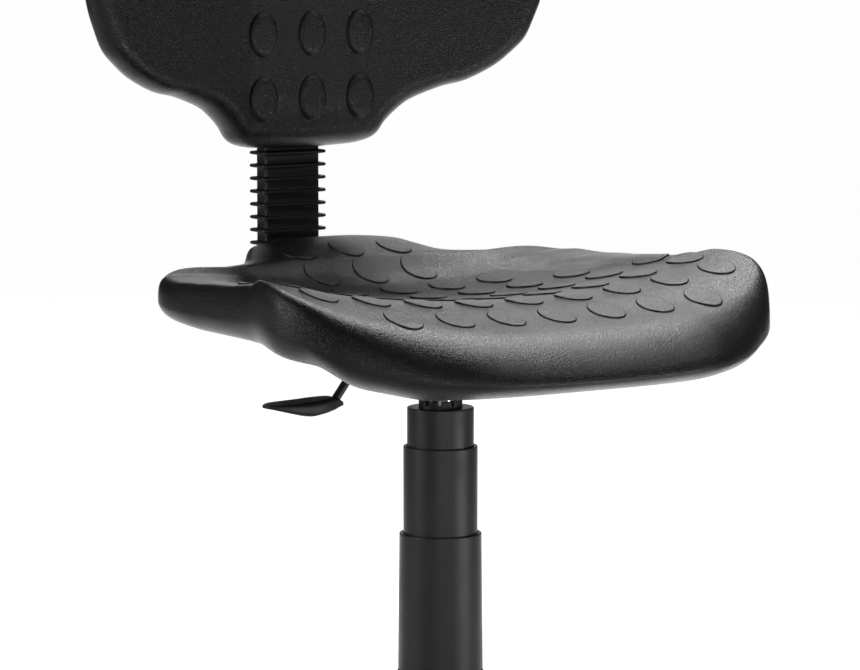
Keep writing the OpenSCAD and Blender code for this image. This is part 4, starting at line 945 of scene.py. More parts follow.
class CHAIR_OT_back(bpy.types.Operator):
    """Builds the backrest cushion with its nubs, and the channel liner at its rear"""
    bl_idname = "chair.back"
    bl_label = "Backrest"

    def execute(self, context):
        c = context.scene.workshop_chair.back
        height = c.high - c.low

        def sized(points):
            """Shares of the half width and of the height, in metres from the centre."""
            p = np.asarray(points, float)
            return np.stack([p[:, 0] * c.half_width, c.low + p[:, 1] * height - c.centre], axis=1)

        def bow(x):
            """How far the face lies forward: the wing reach times the share of the way from the
            flat band to the side, raised to the wing power."""
            side = np.clip(np.abs(x) - c.band, 0, None) / (c.half_width - c.band)
            return c.wing * side ** c.wing_power

        def face(x):
            """Depth of the front face."""
            return c.face - bow(x)

        def thick(x, z):
            """Thickness: that of the sides, plus a bell curve across the middle that fades above
            the channel, plus what lets the rear turn forward evenly, with the power 1.9."""
            even = bow(x) - c.wing * (np.abs(x) / c.half_width) ** 1.9
            fade = 1 - 0.7 * ease((z - c.channel_top) / c.spine_fade)
            return even + c.thick + c.spine * np.exp(-(x / c.spine_wide) ** 2) * fade

        outline = sized(through(mirrored(BACK_OUTLINE), 40, closed=True))
        sides = four_sides(outline, sized(BACK_CORNERS), BACK_CELLS)
        edge = np.vstack([s[:-1] for s in sides])
        plan = square_map([inward(s, c.rounding) for s in sides], BACK_CELLS)
        x, z = plan[..., 0], plan[..., 1] + c.centre
        # The flat band ends over 4 mm at its sides, and starts 30 mm above the lower edge.
        band = (c.band_depth * (1 - ease((np.abs(x) - c.band + 0.003) / 0.004))
                * ease((z - c.low - 0.03) / 0.02))
        front = np.stack([x, face(x) - band, z], axis=-1)
        rear = np.stack([x, face(x) + thick(x, z), z], axis=-1)

        # Edge: a quarter circle from the face to the middle of the edge, and one to the rear.
        ex, ez = edge[:, 0], edge[:, 1] + c.centre
        mid = face(ex) + 0.5 * thick(ex, ez)
        rings = []
        for steps, behind in ((BACK_STEPS, 0.0), (BACK_STEPS[-2::-1], 1.0)):
            for s in steps:
                q = inward(edge, s * c.rounding)
                qx, qz = q[:, 0], q[:, 1] + c.centre
                skin = face(qx) + behind * thick(qx, qz)
                rings.append(np.column_stack([qx, mid + (skin - mid) * rounded(s), qz]))

        def hollow(points):
            """The rear pushed in to the channel's depth, inside its sides and its upper end."""
            inside = 1 - ease((np.abs(points[..., 0]) - c.channel_half - 0.0005) / c.channel_edge)
            inside *= 1 - ease((points[..., 2] - c.channel_top - 0.0005) / c.channel_edge)
            deep = c.channel_floor - c.channel_edge
            points[..., 1] -= np.clip(points[..., 1] - deep, 0, None) * inside
            return points

        body = cushion(front, hollow(np.array(rings)), under=hollow(rear))

        def on_back(px, pz, h):
            """Point in front of the flat band, at a height over it."""
            return np.stack([px, face(px) - c.band_depth - h, pz], axis=-1)

        places = [(k * c.nub_pitch, c.nub_first + r * c.nub_step)
                  for r in range(c.nub_rows) for k in (-1, 0, 1)]
        nubs = pads(places, c.nub_half, c.nub_reach, c.nub_rise, 3.0, on_back)
        back = piece("backrest_cushion", [body, *nubs], finish("pu_integral_skin"), crease=60)
        settled(back, "backrest", ["back_pad"])

        # Channel liner: a lip on the rear skin, a wall down to the floor, and the same back up.
        # A level of -1 is the floor, 0 is the skin, and what is above 0 lies over the skin.
        w, lip = c.channel_half, c.channel_half + c.liner_lip
        half = filleted([[lip, -0.001], [lip, c.liner_rise], [w, c.liner_rise], [w, -1.0],
                         [0, -1.0]], [0, 0.001, 0.001, 0.003, 0], 5)
        across = np.concatenate([half[:, 0], -half[::-1, 0]])
        level = np.concatenate([half[:, 1], half[::-1, 1]])
        gx, gz = np.meshgrid(across, np.linspace(c.low + 0.004, c.channel_top, 60))
        skin = face(gx) + thick(gx, gz)
        floor = c.channel_floor + 0.0002
        depth = np.where(level < -0.01, floor + (skin - floor) * (1 + level), skin + level)
        depth = np.where(level < -0.5, floor, depth)
        inner_x = np.where(np.abs(gx) > w, gx, gx * (w + c.liner_wall) / w)
        outer = np.stack([gx, depth, gz], axis=-1)
        inner = np.stack([inner_x, depth - c.liner_wall, gz], axis=-1)
        liner = piece("back_channel_liner", [capped(np.concatenate([outer, inner[:, ::-1]], 1))],
                      finish("nylon_moulded"), crease=35)
        settled(liner, "backrest")
        return {"FINISHED"}


class CHAIR_OT_bellows(bpy.types.Operator):
    """Builds the ribbed rubber bellows over the back upright"""
    bl_idname = "chair.bellows"
    bl_label = "Bellows"

    def execute(self, context):
        c = context.scene.workshop_chair.support
        # One pitch of the fold: share of the pitch, and share of the rib's height.
        fold = np.array([[0, 0], [0.27, 0.0], [0.315, 0.03], [0.345, 0.25], [0.365, 0.75],
                         [0.41, 0.95], [0.50, 1.0], [0.59, 0.95], [0.635, 0.75], [0.655, 0.25],
                         [0.685, 0.03], [0.73, 0.0]])
        z = ((np.arange(c.ribs)[:, None] + fold[:, 0]) * c.rib_pitch).ravel()
        z = np.append(z, c.ribs * c.rib_pitch)
        z = c.bellows_foot + z * (c.carrier_foot - c.bellows_foot) / z[-1]
        out = np.append(np.tile(fold[:, 1], c.ribs) * c.rib_out, 0)
        loops = box_loop(c.bellows_width + 2 * out, c.bellows_depth + 2 * out,
                         c.bellows_round + out * 0.3)
        outer = stacked(loops, [0, c.upright - c.bellows_ahead], z)
        hole = box_loop(np.full(2, c.bar_width + 0.0008), c.bar_thick + 0.0008, 0.0012)
        inner = stacked(hole, [0, c.upright], z[[0, -1]])
        grid = np.concatenate([inner[:1], outer, inner[1:], inner[:1]])
        bellows = piece("back_bellows", [strip(grid)], finish("chloroprene_rubber"), crease=38)
        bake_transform(bellows)
        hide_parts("bellows")
        return {"FINISHED"}


class CHAIR_OT_cover(bpy.types.Operator):
    """Builds the three telescopic stages of the column cover and the notched collar"""
    bl_idname = "chair.cover"
    bl_label = "Column cover"

    def execute(self, context):
        c = context.scene.workshop_chair.column
        w, lip, smooth = c.wall, c.lip, finish("polypropylene_satin")
        rounds = [0, 0.0009, 0.0006, 0.0004, 0.0004, 0.0005, 0]

        # Top stage: its end is closed but for the hole that the collar fills.
        r, t, b = c.upper_radius, c.upper_top, c.upper_top - c.upper_length
        profile = filleted([[r, b], [r, t], [c.collar_radius, t], [c.collar_radius, t - w],
                            [r - w, t - w], [r - w, b], [r, b]],
                           [0, 0.0011, 0.0003, 0.0003, 0.001, 0.0005, 0], 6)
        settled(piece("cover_upper", [lathe(profile)], smooth, 35), "carriage",
                ["shroud_upper"])

        # Middle stage: a lip turned in at its top slides on the stage above.
        r, t, b = c.mid_radius, c.mid_top, c.mid_top - c.mid_length
        bore = c.upper_radius + c.fit
        profile = filleted([[r, b], [r, t], [bore, t], [bore, t - lip], [r - w, t - lip],
                            [r - w, b], [r, b]], rounds, 6)
        settled(piece("cover_middle", [lathe(profile)], smooth, 35), "cover_mid",
                ["shroud_mid"])

        # Lower stage: the same with a slight taper, standing on the hub.
        r, t, foot = c.lower_radius, c.lower_top, c.foot_radius
        b, bore = context.scene.workshop_chair.base.hub_top, c.mid_radius + c.fit
        wall = np.column_stack([np.linspace(foot, r, 60), np.linspace(b, t, 60)])
        heel = filleted([[foot - 0.002, b], wall[0], wall[1]], [0, 0.001, 0], 4)
        rest = filleted([wall[-2], wall[-1], [bore, t], [bore, t - lip], [r - w, t - lip],
                         [r - w, b + 0.004], [foot - 0.002, b]], rounds, 6)
        profile = np.vstack([heel[:-1], wall[1:-1], rest[1:-1]])
        settled(piece("cover_lower", [lathe(profile, 192)], smooth, 35), "base",
                ["shroud_lower"])

        # Collar: a turned ring whose upper rim dips at each notch, by 0.65 of its rise.
        a = np.arange(240) / 240 * 2 * math.pi
        top, foot = c.upper_top + c.collar_rise, c.upper_top - w - c.flange_thick
        wave = np.abs((a / (2 * math.pi) * c.notches) % 1 - 0.5) * 2
        notch = ease((0.30 - wave) / 0.10) * c.collar_rise * 0.65
        ro, ri = c.collar_radius - 0.0001, c.collar_bore
        base = filleted([[ri, foot], [ro + c.flange, foot], [ro + c.flange, foot + c.flange_thick],
                         [ro, foot + c.flange_thick], [ro, top], [ri, top], [ri, foot]],
                        [0, 0.0003, 0.0003, 0.0002, 0.0006, 0.0005, 0], 5)
        radius, z = base[:, :1], np.repeat(base[:, 1:], len(a), axis=1)
        z = z - notch * ease((z - c.upper_top - 0.0005) / (c.collar_rise - 0.001))
        grid = np.stack([radius * np.cos(a), radius * np.sin(a), z], axis=-1)
        settled(piece("cover_collar", [strip(grid)], finish("nylon_moulded"), 35), "carriage",
                ["shroud_collar"])
        return {"FINISHED"}


class CHAIR_OT_base(bpy.types.Operator):
    """Builds the hub and the five hollow arms of the star base"""
    bl_idname = "chair.base"
    bl_label = "Star base"

    def execute(self, context):
        c = context.scene.workshop_chair.base
        foot, top, roof = c.hub_foot, c.hub_top, c.hub_top - c.hub_roof
        hub = filleted([[c.hub_bore, foot], [c.hub_foot_radius, foot],
                        [c.hub_top_radius + 0.0012, top - 0.012], [c.hub_top_radius, top],
                        [c.hub_mouth, top], [c.hub_mouth, roof], [c.hub_bore, roof],
                        [c.hub_bore, foot]],
                       [0, 0.003, 0.006, 0.0022, 0.0005, 0.0003, 0.0003, 0], 6)

        # Arm: an upside-down U with rounded shoulders, the outer line up and over and the inner
        # line back, carried outwards while its top, foot and half width go over to those of the
        # end. The top falls with the power 0.92 of the way.
        s = np.linspace(0, 1, 34)
        out = c.arm_root + (c.reach - c.arm_root) * s
        high = c.root_top + (c.end_top - c.root_top) * s ** 0.92
        root_foot = c.root_top - c.root_depth
        low = root_foot + (c.end_foot - root_foot) * s
        half = c.root_width / 2 + (c.end_radius - c.root_width / 2) * s
        corner = 0.011 - 0.003 * s
        q = np.linspace(0, math.pi, 15)
        across = np.concatenate([[1], np.sign(np.cos(q)) * np.abs(np.cos(q)) ** 0.55, [-1]])
        up = np.concatenate([[0], np.sin(q) ** 0.9, [0]])

        def line(across, up, wall):
            """One side of the wall: half widths and heights of the U, less the wall."""
            shoulder = high[:, None] - wall - corner[:, None] * (1 - up)
            return across * (half[:, None] - wall), np.where(up > 0, shoulder, low[:, None])

        (ox, oz), (ix, iz) = line(across, up, 0.0), line(across[::-1], up[::-1], c.arm_wall)
        x, z = np.concatenate([ox, ix], axis=1), np.concatenate([oz, iz], axis=1)
        arm = np.stack([np.repeat(out[:, None], x.shape[1], axis=1), x, z], axis=-1)

        # End of the arm: a round boss with a blind bore for the castor's stem.
        bore = c.stem_radius + 0.0001
        tip = filleted([[bore, c.end_foot], [c.end_radius, c.end_foot],
                        [c.end_radius, c.end_top - 0.001], [0.0, c.end_top]],
                       [0, 0.001, 0.006, 0], 7)
        tip = np.vstack([tip, [[0.0001, c.end_top - 0.004], [bore, c.end_top - 0.004]]])

        # Ribs between the walls, at shares of the way along the arm.
        ribs = []
        for t in (0.16, 0.34, 0.52, 0.70):
            w, upper, lower = (np.interp(t, s, v) for v in (half, high, low))
            loop = box_loop(2 * (w - 0.001), c.rib_thick, 0.0009, 4)[0]
            path = np.zeros((5, 3)) + [c.arm_root + (c.reach - c.arm_root) * t, 0, 0]
            path[:, 2] = np.linspace(lower + 0.003, upper - 0.003, 5)
            ribs.append(along(path, loop, (0, 1, 0)))

        patches = [lathe(hub)]
        for group in ([capped(arm), lathe(tip, 48, (c.reach, 0, 0))], ribs):
            for k in range(5):
                for points, squares, tris in group:
                    points = turned(points, (0, 0, 1), math.radians(72 * k - 90))
                    patches.append((points, squares, tris))
        star = piece("star_base_moulding", patches, finish("nylon_moulded"), 42)
        settled(star, "base", ["star_base"])
        return {"FINISHED"}


class CHAIR_OT_castors(bpy.types.Operator):
    """Builds the hoods and twin wheels of the five castors"""
    bl_idname = "chair.castors"
    bl_label = "Castors"

    def execute(self, context):
        c = context.scene.workshop_chair.base
        r, h = c.wheel_radius, c.wheel_width / 2
        half = c.web / 2 + c.wheel_gap + c.wheel_width + 0.001
        inner = r + c.hood_gap
        outer = inner + c.hood_wall

        # Hood: a section across the wheels, carried round the axle from front to rear.
        section = np.array([[-half, inner - 0.002], [-half, outer - 0.0035],
                            [-half + 0.0010, outer - 0.0012], [-half + 0.0035, outer],
                            [0, outer + 0.0006], [half - 0.0035, outer],
                            [half - 0.0010, outer - 0.0012], [half, outer - 0.0035],
                            [half, inner - 0.002], [half - 0.0009, inner],
                            [0, inner + 0.0003], [-half + 0.0009, inner]])
        angle = np.radians(np.linspace(8, 172, 40))[:, None]
        grid = np.stack([c.trail + section[:, 1] * np.cos(angle),
                         np.broadcast_to(section[:, 0], (40, len(section))),
                         r + section[:, 1] * np.sin(angle)], axis=-1)
        clear, foot, top = c.stem_radius + 0.0002, r + inner * 0.62, c.end_foot - 0.0004
        neck = filleted([[clear, foot], [c.neck_radius, foot],
                         [c.neck_radius + 0.001, c.end_foot - 0.006], [c.neck_radius, top],
                         [clear, top], [clear, foot]], [0, 0.001, 0.002, 0.001, 0.0004, 0], 5)
        hood = [capped(grid), lathe(neck, 40)]

        # Wheels: a flat tread, a dished face with a raised rim and hub, and a shallower one inside.
        wheels = {}
        for side, tag in ((1, "l"), (-1, "r")):
            f, bore = h * side, c.axle_bore
            face = filleted([[bore, -f], [r * 0.45, -f], [r * 0.5, -f * 0.8], [r * 0.78, -f * 0.8],
                             [r * 0.82, -f], [r - 0.001, -f], [r, 0.0], [r - 0.001, f],
                             [r * 0.84, f], [r * 0.80, f * 0.72], [r * 0.34, f * 0.66],
                             [r * 0.30, f * 0.95], [bore, f * 0.95], [bore, -f]],
                            [0, 0.0006, 0.0006, 0.0006, 0.0006, 0.003, 0.004, 0.003, 0.0008,
                             0.0012, 0.0012, 0.0008, 0.0003, 0], 5)
            middle = side * (c.web / 2 + c.wheel_gap + h)
            wheels[tag] = [lathe(face, 64, (c.trail, middle, r), "y")]

        for k in range(1, 6):
            def put(patches):
                """The patches moved out to the castor's stem and turned to its arm."""
                return [(turned(points + [c.reach, 0, 0], (0, 0, 1), math.radians(72 * k - 162)),
                         squares, tris) for points, squares, tris in patches]

            shell = piece(f"castor_hood_{k}", put(hood), finish("nylon_moulded"), 35)
            settled(shell, f"castor_{k}", [f"castor_{k}_hood"])
            for tag, patches in wheels.items():
                wheel = piece(f"castor_wheel_{k}_{tag}", put(patches), finish("polyamide_wheel"),
                              35)
                settled(wheel, f"castor_{k}_wheel_{tag}", [f"castor_{k}_wheel_{tag}"])
        return {"FINISHED"}


class CHAIR_OT_lever(bpy.types.Operator):
    """Builds the bent height lever and its flat handle"""
    bl_idname = "chair.lever"
    bl_label = "Height lever"

    def execute(self, context):
        c = context.scene.workshop_chair.support
        # Rod: a circle carried along a line that bends once. The eye sits where the straight
        # line from the inner end to the bend passes the pivot.
        r, high, h = c.rod_radius, c.lever_height, c.lever_end_height
        pivot = high - c.lever_drop * (c.lever_pivot + r) / (c.lever_bend + r)
        points = [[r, 0, high], [-c.lever_bend, 0, high - c.lever_drop], [-c.lever_end, 0, h]]
        path = evenly(filleted(points, [0, c.lever_turn, 0], 8), 60)
        a = np.arange(24) / 24 * 2 * math.pi
        size = np.ones((60, 1, 1))
        size[[0, -1]] = 0.8
        rod = along(path, r * np.stack([np.cos(a), np.sin(a)], axis=-1) * size, (0, 1, 0))
        e, b, w = c.eye_radius, c.eye_bore, c.eye_half
        eye = lathe(filleted([[b, -w], [e, -w], [e, w], [b, w], [b, -w]],
                             [0, 0.0006, 0.0006, 0.0003, 0], 4),
                    32, (-c.lever_pivot, 0, pivot), "y")
        settled(piece("lever_rod", [rod, eye], finish("powder_coat_black"), 40), "lever",
                ["height_lever"])

        # Handle: rounded sections along the length, with a top line, an under line and a half
        # width of their own, each a table that a running mean smooths.
        s = np.linspace(0, 1, 64)
        x = 0.006 - c.lever_end - (c.lever_tip - c.lever_end + 0.006) * s

        def smooth(width, shares, values):
            """The table at the sections, as the mean over a width of that many of them."""
            table = np.interp(s, shares, values)
            mean = np.ones(width) / width
            return np.convolve(np.pad(table, width // 2, mode="edge"), mean, mode="valid")

        top = smooth(5, [0, 0.06, 0.14, 0.5, 1],
                     np.array([0.0012, 0.0054, 0.0062, 0.0046, 0.0032]) + h)
        low = smooth(5, [0, 0.10, 0.25, 0.47, 0.60, 0.77, 1],
                     np.array([-0.0012, -0.0044, -0.0060, -0.0076, -0.0064, -0.0035, 0.0006]) + h)
        half = smooth(9, [0, 0.1, 0.3, 0.45, 0.8, 0.93, 0.985, 1],
                      [0.0065, 0.0085, 0.0138, 0.015, 0.0145, 0.012, 0.007, 0.003])
        loops = box_loop(2 * half, top - low, np.minimum(half, (top - low) / 2) * 0.7, 6)
        grid = np.stack([np.repeat(x[:, None], loops.shape[1], axis=1), loops[..., 0],
                         (top + low)[:, None] / 2 + loops[..., 1]], axis=-1)
        handle = piece("lever_handle", [capped(grid)], finish("nylon_moulded"), 40)
        settled(handle, "lever", ["lever_paddle"])
        return {"FINISHED"}


class CHAIR_OT_upright(bpy.types.Operator):
    """Builds the bent steel bar, the carrier behind the backrest and the clamping knob"""
    bl_idname = "chair.upright"
    bl_label = "Back support"

    def execute(self, context):
        c = context.scene.workshop_chair.support
        nylon = finish("nylon_moulded")
        # Bar: a flat section carried back, round a quarter circle and up. Its barrel holds the
        # hinge pin.
        r = c.bar_bend + c.bar_thick / 2
        a = np.linspace(0, math.pi / 2, 16)
        bend = np.column_stack([0 * a, c.upright - r + r * np.sin(a),
                                c.hinge_height + r - r * np.cos(a)])
        path = evenly(np.vstack([[[0, c.hinge_rear - c.bar_start, c.hinge_height]], bend,
                                 [[0, c.upright, c.bar_top]]]), 120)
        loop = box_loop(c.bar_thick, c.bar_width, 0.0016, 6)[0]
        bar = along(path, loop[:, ::-1], (1, 0, 0))
        e, b, w = c.hinge_radius, c.hinge_bore, c.hinge_half
        barrel = lathe(filleted([[b, -w], [e, -w], [e, w], [b, w], [b, -w]],
                                [0, 0.0008, 0.0008, 0.0004, 0], 4),
                       48, (0, c.hinge_rear, c.hinge_height), "x")
        settled(piece("upright_bar", [bar, barrel], finish("powder_coat_black"), 40), "upright",
                ["back_bar"])

        cut = np.array([0, 0, 0.0006, 0.0016, 0.003])
        wide, thick = c.bar_width - 0.0004 - 2 * cut, c.bar_thick - 0.0004 - 2 * cut
        cap = stacked(box_loop(wide, thick, np.minimum(0.0015, thick / 2 * 0.9)), [0, c.upright],
                      c.bar_top + np.array([0.0, 0.003, 0.0042, 0.0048, 0.005]))
        settled(piece("upright_cap", [capped(cap)], nylon, 40), "upright", ["bar_cap"])

        # Carrier: a block around the bar, rounded at its ends, with a slot for the bar.
        rear, front = c.upright + c.bar_thick / 2 + c.carrier_wall, c.carrier_front
        step = np.array([0, 0.0004, 0.0012, 0.0025, 0.004])
        z = np.concatenate([c.carrier_foot + step, c.carrier_top - step[::-1]])
        cut = np.array([0.003, 0.0018, 0.0008, 0.0002, 0])
        cut = np.concatenate([cut, cut[::-1]])
        outer = stacked(box_loop(2 * c.carrier_half - 2 * cut, rear - front - cut,
                                 c.carrier_round), [0, (rear + front) / 2], z)
        slot = stacked(box_loop(np.full(10, c.bar_width + 0.0003), c.bar_thick + 0.0003, 0.0016),
                       [0, c.upright], z)
        block = np.concatenate([outer, slot[::-1], outer[:1]])
        settled(piece("back_carrier_block", [strip(block)], nylon, 35), "backrest",
                ["back_carrier"])

        # Knob: a turned profile. Eight flutes, a cosine squared round the rim, cut into its grip.
        a = np.arange(128) / 128 * 2 * math.pi
        y, end, r = rear + 0.0004, rear + 0.0004 + c.knob_length, c.knob_radius
        turned_line = filleted([[0.0, y], [0.011, y], [0.0125, y + 0.004], [r - 0.001, y + 0.006],
                                [r, y + 0.010], [r - 0.0012, end - 0.002], [0.013, end],
                                [0.012, end - 0.0012], [0.0, end - 0.0012]],
                               [0, 0.001, 0.001, 0.002, 0.003, 0.004, 0.0006, 0.0006, 0], 6)
        radius, depth = turned_line[:, :1], turned_line[:, 1:]
        flute = (0.5 + 0.5 * np.cos(8 * a)) ** 2
        radius = radius - ease((radius - 0.0145) / 0.004) * 0.0028 * flute
        grid = np.stack([radius * np.sin(a), np.repeat(depth, len(a), axis=1),
                         c.knob_height + radius * np.cos(a)], axis=-1)
        head = strip(grid[1:-1], *((0, depth[row, 0], c.knob_height) for row in (0, -1)))
        shank = lathe([[0.004, c.upright + c.bar_thick / 2 + 0.0003], [0.004, y + 0.002]], 24,
                      (0, 0, c.knob_height), "y", closed=False)
        settled(piece("clamp_knob", [head, shank], nylon, 40), "knob", ["back_knob"])
        return {"FINISHED"}


class CHAIR_OT_mechanism(bpy.types.Operator):
    """Builds the pressed-steel housing of the mechanism under the seat"""
    bl_idname = "chair.mechanism"
    bl_label = "Mechanism"

    def execute(self, context):
        c = context.scene.workshop_chair.mechanism
        w, f, st, rw, re = c.half_width, c.front, c.step, c.rear_half, c.rear
        half = [[0, -f], [w, -f], [w, st], [rw, st], [rw, re], [0, re]]
        corners = half + [[-x, y] for x, y in half[-2::-1]]
        outline = filleted(corners, [0, 0.009, 0.007, 0.006, 0.006, 0, 0.006, 0.006, 0.007,
                                     0.009, 0], 8)[:-1]
        outline = evenly(np.vstack([outline, outline[:1]]), 321)[:-1]
        tangent = np.roll(outline, -1, axis=0) - np.roll(outline, 1, axis=0)
        normal = np.stack([tangent[:, 1], -tangent[:, 0]], axis=-1)
        normal /= np.linalg.norm(normal, axis=1)[:, None]
        way = outline / np.linalg.norm(outline, axis=1)[:, None]

        # Rings of a pan: down the outside and round its lower corner, in to the hole for the
        # socket, and back up the inside. Outside the hole a ring is the outline moved in.
        foot, floor = c.foot, c.foot + c.wall
        outside = [(0.0, c.top), (0.0, foot + 0.006), (0.0004, foot + 0.0035),
                   (0.0014, foot + 0.0014), (0.0030, foot + 0.0003), (0.0045, foot)]
        hole = [(0.006, foot), (0.0025, foot + 0.0003), (0.0002, foot + 0.001), (0.0002, floor)]
        inside = [(0.0045 + c.wall * 0.4, floor), (c.wall, foot + 0.006), (c.wall, c.top)]
        rings = [(outline - normal * d, z) for d, z in outside]
        rings += [(way * (c.socket + d), z) for d, z in hole]
        rings += [(outline - normal * d, z) for d, z in inside + outside[:1]]
        grid = stacked(np.array([plan for plan, _ in rings]), [0, 0], [z for _, z in rings])
        housing = piece("mechanism_housing", [strip(grid)], finish("powder_coat_black"), 38)
        settled(housing, "carriage", ["mech_housing"])
        return {"FINISHED"}


class CHAIR_OT_carried(bpy.types.Operator):
    """Gives the CAD nodes that stay in sight their finishes"""
    bl_idname = "chair.carried"
    bl_label = "Carried-over parts"

    def execute(self, context):
        dress("powder_coat_black", "mounting_plate", "gas_outer_tube", "taper_socket")
        dress("zinc_plate", "hub_sleeve", "thrust_bearing", "retaining_clip", "seat_bolts",
              "tee_nuts", "lever_pin", "lever_bracket", "back_pivot_pin", "carrier_screws",
              *(f"castor_{k}_pintle" for k in range(1, 6)))
        dress("ground_chrome", "piston_rod", "pressure_tube")
        dress("turned_brass", "valve_pin")
        dress("acetal_natural", "guide_bush")
        dress("birch_plywood", "seat_board", "back_board")
        dress("chloroprene_rubber", "torsion_bushes", "back_stop")

        def patterned(material):
            """Whether a material has a pattern that reads Object coordinates."""
            return material and material.use_nodes and any(
                socket.name == "Object" and socket.is_linked
                for node in material.node_tree.nodes for socket in node.outputs)

        left = [n for n, o in NODES.items() if not o.hide_render
                and not any(patterned(entry.material) for entry in o.material_slots)]
        if left:
            raise RuntimeError(f"no finish yet: {left}")
        return {"FINISHED"}


# Area lamps: place, aim, size and power in watts.
LAMPS = {
    "overhead_softbox": ((0.74, 0.84, 2.18), (0, -0.05, 0.45), (1.5, 1.5), 41),
    "front_softbox": ((1.15, -0.95, 2.0), (0, 0, 0.5), (1.1, 0.9), 7),
    "left_softbox": ((-2.3, 0.6, 1.05), (0, 0, 0.45), (1.2, 1.3), 15),
    "key_strip": ((-0.75, -1.90, 0.42), (0, -0.15, 0.42), (1.9, 0.30), 5),
    "low_strip": ((0.72, -1.12, 0.16), (0, 0, 0.3), (0.8, 0.26), 3.2),
}


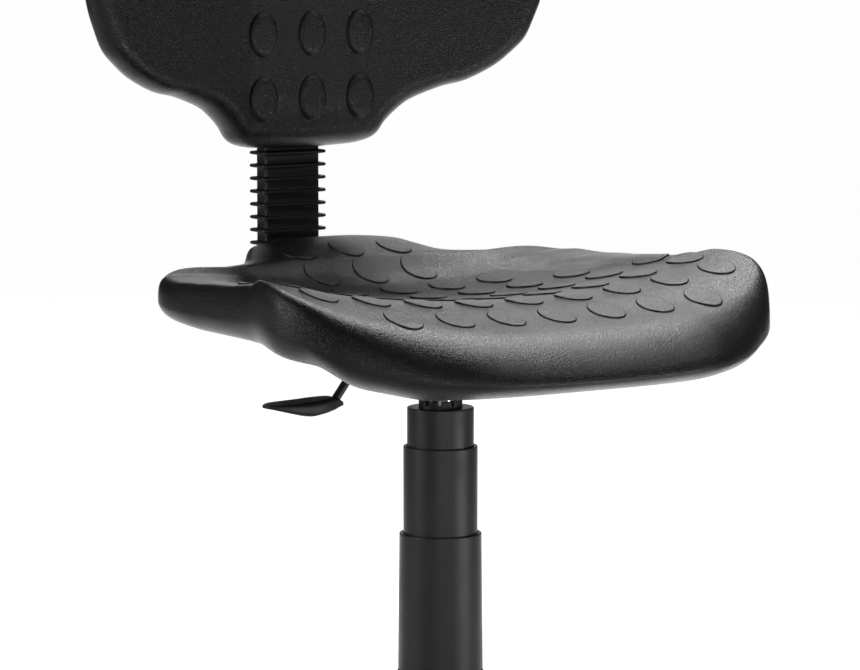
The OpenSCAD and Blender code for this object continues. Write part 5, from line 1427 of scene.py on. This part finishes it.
class CHAIR_OT_studio(bpy.types.Operator):
    """Sets up floor, backdrop, lights and camera"""
    bl_idname = "chair.studio"
    bl_label = "Studio"

    def execute(self, context):
        scene = context.scene
        s, look = scene.workshop_chair.studio, scene.workshop_chair.look
        scene.view_settings.view_transform = "Standard"

        # Floor and backdrop: one sheet, flat, then a quarter circle, then a wall, behind the
        # chair as the camera sees it.
        yaw = s.yaw
        away, right = (np.array([math.sin(yaw), math.cos(yaw)]),
                       np.array([math.cos(yaw), -math.sin(yaw)]))
        near, far, radius, wall_top, half_width = 7.0, 6.0, 2.5, 7.0, 9.0
        a = np.linspace(0, math.pi / 2, 24)
        flat = np.array([[x, 0] for x in (-near, *np.linspace(-5, 5, 12))])
        bend = np.column_stack([far + radius * np.sin(a), radius - radius * np.cos(a)])
        profile = np.vstack([flat, bend, [[far + radius, wall_top]]])
        across = np.linspace(-half_width, half_width, 10)
        xy = profile[:, :1, None] * away + across[None, :, None] * right
        z = np.broadcast_to(profile[:, 1, None, None], xy.shape[:2] + (1,))
        grid = np.concatenate([xy, z], axis=-1)
        m, n = grid.shape[:2]
        i, j = np.meshgrid(np.arange(m - 1), np.arange(n - 1), indexing="ij")
        at = (i * n + j).ravel()
        mesh = bpy.data.meshes.new("studio_floor")
        mesh.from_pydata(grid.reshape(-1, 3).tolist(), [],
                         np.stack([at, at + 1, at + n + 1, at + n], axis=-1).tolist())
        mesh.shade_smooth()
        floor = bpy.data.objects.new("studio_floor", mesh)
        scene.collection.objects.link(floor)

        # Matt paper roll: pale, and white where the camera looks at it away from the chair.
        # Mirrors and glass see white only in the stretch behind the chair, as with dark screens
        # around. That stretch is an egg: 2.3 m to each side, 7 m long, 4.3 m high.
        paper = bpy.data.materials.new("backdrop_paper")
        paper.use_nodes = True
        tree = paper.node_tree
        tree.nodes.clear()
        matt = add(tree, "ShaderNodeBsdfDiffuse", {"Color": linear(look.floor)})
        place = add(tree, "ShaderNodeTexCoord").outputs["Object"]
        ray = add(tree, "ShaderNodeLightPath").outputs
        mirror = add(tree, "ShaderNodeMath",
                     {0: ray["Is Glossy Ray"], 1: ray["Is Transmission Ray"]},
                     operation="MAXIMUM")
        egg = add(tree, "ShaderNodeMapping",
                  {"Vector": place, "Location": (*(away * far), 0.0),
                   "Rotation": (0.0, 0.0, -yaw), "Scale": (2.3, 7.0, 4.3)}, vector_type="TEXTURE")
        inside = add(tree, "ShaderNodeVectorMath", {0: egg.outputs[0]}, operation="LENGTH")
        fall = add(tree, "ShaderNodeMapRange",
                   {"Value": inside.outputs["Value"], "From Min": 0.62, "From Max": 1.0,
                    "To Min": 0.95, "To Max": 0.0}, interpolation_type="SMOOTHSTEP")
        # For the camera the white sets in from 0.3 m to 1.3 m, so that the shadow stays.
        distance = add(tree, "ShaderNodeVectorMath", {0: place}, operation="LENGTH")
        shown = add(tree, "ShaderNodeMapRange",
                    {"Value": distance.outputs["Value"], "From Min": 0.3, "From Max": 1.3,
                     "To Min": 0.2, "To Max": 0.95}, interpolation_type="SMOOTHSTEP")
        mirrored_part = add(tree, "ShaderNodeMath", {0: mirror.outputs[0],
                                                     1: fall.outputs["Result"]},
                            operation="MULTIPLY")
        level = add(tree, "ShaderNodeMath",
                    {0: ray["Is Camera Ray"], 1: shown.outputs["Result"],
                     2: mirrored_part.outputs[0]}, operation="MULTIPLY_ADD")
        glow = add(tree, "ShaderNodeEmission",
                   {"Color": (1, 1, 1, 1), "Strength": level.outputs[0]})
        both = add(tree, "ShaderNodeAddShader", {0: matt.outputs[0], 1: glow.outputs[0]})
        add(tree, "ShaderNodeOutputMaterial", {"Surface": both.outputs[0]})
        mesh.materials.append(paper)

        # World: a faint even light, and white to the camera.
        world = bpy.data.worlds.new("studio_world")
        world.use_nodes = True
        tree = world.node_tree
        seen = add(tree, "ShaderNodeLightPath").outputs["Is Camera Ray"]
        sky = add(tree, "ShaderNodeMapRange", {"Value": seen, "To Min": 0.06, "To Max": 1.0})
        fill(tree, tree.nodes["Background"],
             {"Color": (1, 1, 1, 1), "Strength": sky.outputs["Result"]})
        scene.world = world

        for name, (spot, aim, size, power) in LAMPS.items():
            data = bpy.data.lights.new(name, "AREA")
            data.shape = "RECTANGLE"
            data.size, data.size_y = size
            data.energy = power
            lamp = bpy.data.objects.new(name, data)
            lamp.location = spot
            x, y, z = np.subtract(aim, spot)
            lamp.rotation_euler = (math.pi / 2 + math.atan2(z, math.hypot(x, y)), 0,
                                   math.atan2(y, x) - math.pi / 2)
            lamp.visible_camera = False
            scene.collection.objects.link(lamp)

        data = bpy.data.cameras.new("photo_camera")
        data.sensor_fit, data.sensor_width, data.lens = "HORIZONTAL", 36.0, s.lens
        data.clip_end = 60
        camera = bpy.data.objects.new("photo_camera", data)
        camera.location = s.camera
        camera.rotation_euler = (math.pi / 2 - s.pitch, 0, -s.yaw)
        scene.collection.objects.link(camera)
        scene.camera = camera
        return {"FINISHED"}


OPERATORS = [CHAIR_OT_studio, CHAIR_OT_seat, CHAIR_OT_back, CHAIR_OT_bellows, CHAIR_OT_cover,
             CHAIR_OT_base, CHAIR_OT_castors, CHAIR_OT_lever, CHAIR_OT_upright,
             CHAIR_OT_mechanism, CHAIR_OT_carried]


class CHAIR_PT_panel(bpy.types.Panel):
    """Lists the pieces and the values behind them"""
    bl_idname = "CHAIR_PT_panel"
    bl_label = "Workshop chair"
    bl_space_type = "VIEW_3D"
    bl_region_type = "UI"
    bl_category = "Chair"

    def draw(self, context):
        layout = self.layout
        for operator in OPERATORS:
            layout.operator(operator.bl_idname)
        settings = context.scene.workshop_chair
        for key, group in GROUPS.items():
            box = layout.box()
            box.label(text=key.capitalize())
            for name in group.__annotations__:
                box.prop(getattr(settings, key), name)


CLASSES = [*GROUPS.values(), ChairSettings, *OPERATORS, CHAIR_PT_panel]


def register():
    """Adds the groups of values, the operators and the panel to Blender."""
    for cls in CLASSES:
        bpy.utils.register_class(cls)
    bpy.types.Scene.workshop_chair = bpy.props.PointerProperty(type=ChairSettings)


def unregister():
    """Takes them out again."""
    del bpy.types.Scene.workshop_chair
    for cls in reversed(CLASSES):
        bpy.utils.unregister_class(cls)


def main():
    """Builds everything in order."""
    register()
    for operator in OPERATORS:
        group, name = operator.bl_idname.split(".")
        if getattr(getattr(bpy.ops, group), name)() != {"FINISHED"}:
            raise RuntimeError(f"{operator.bl_idname} did not finish")


if __name__ == "__main__":
    main()
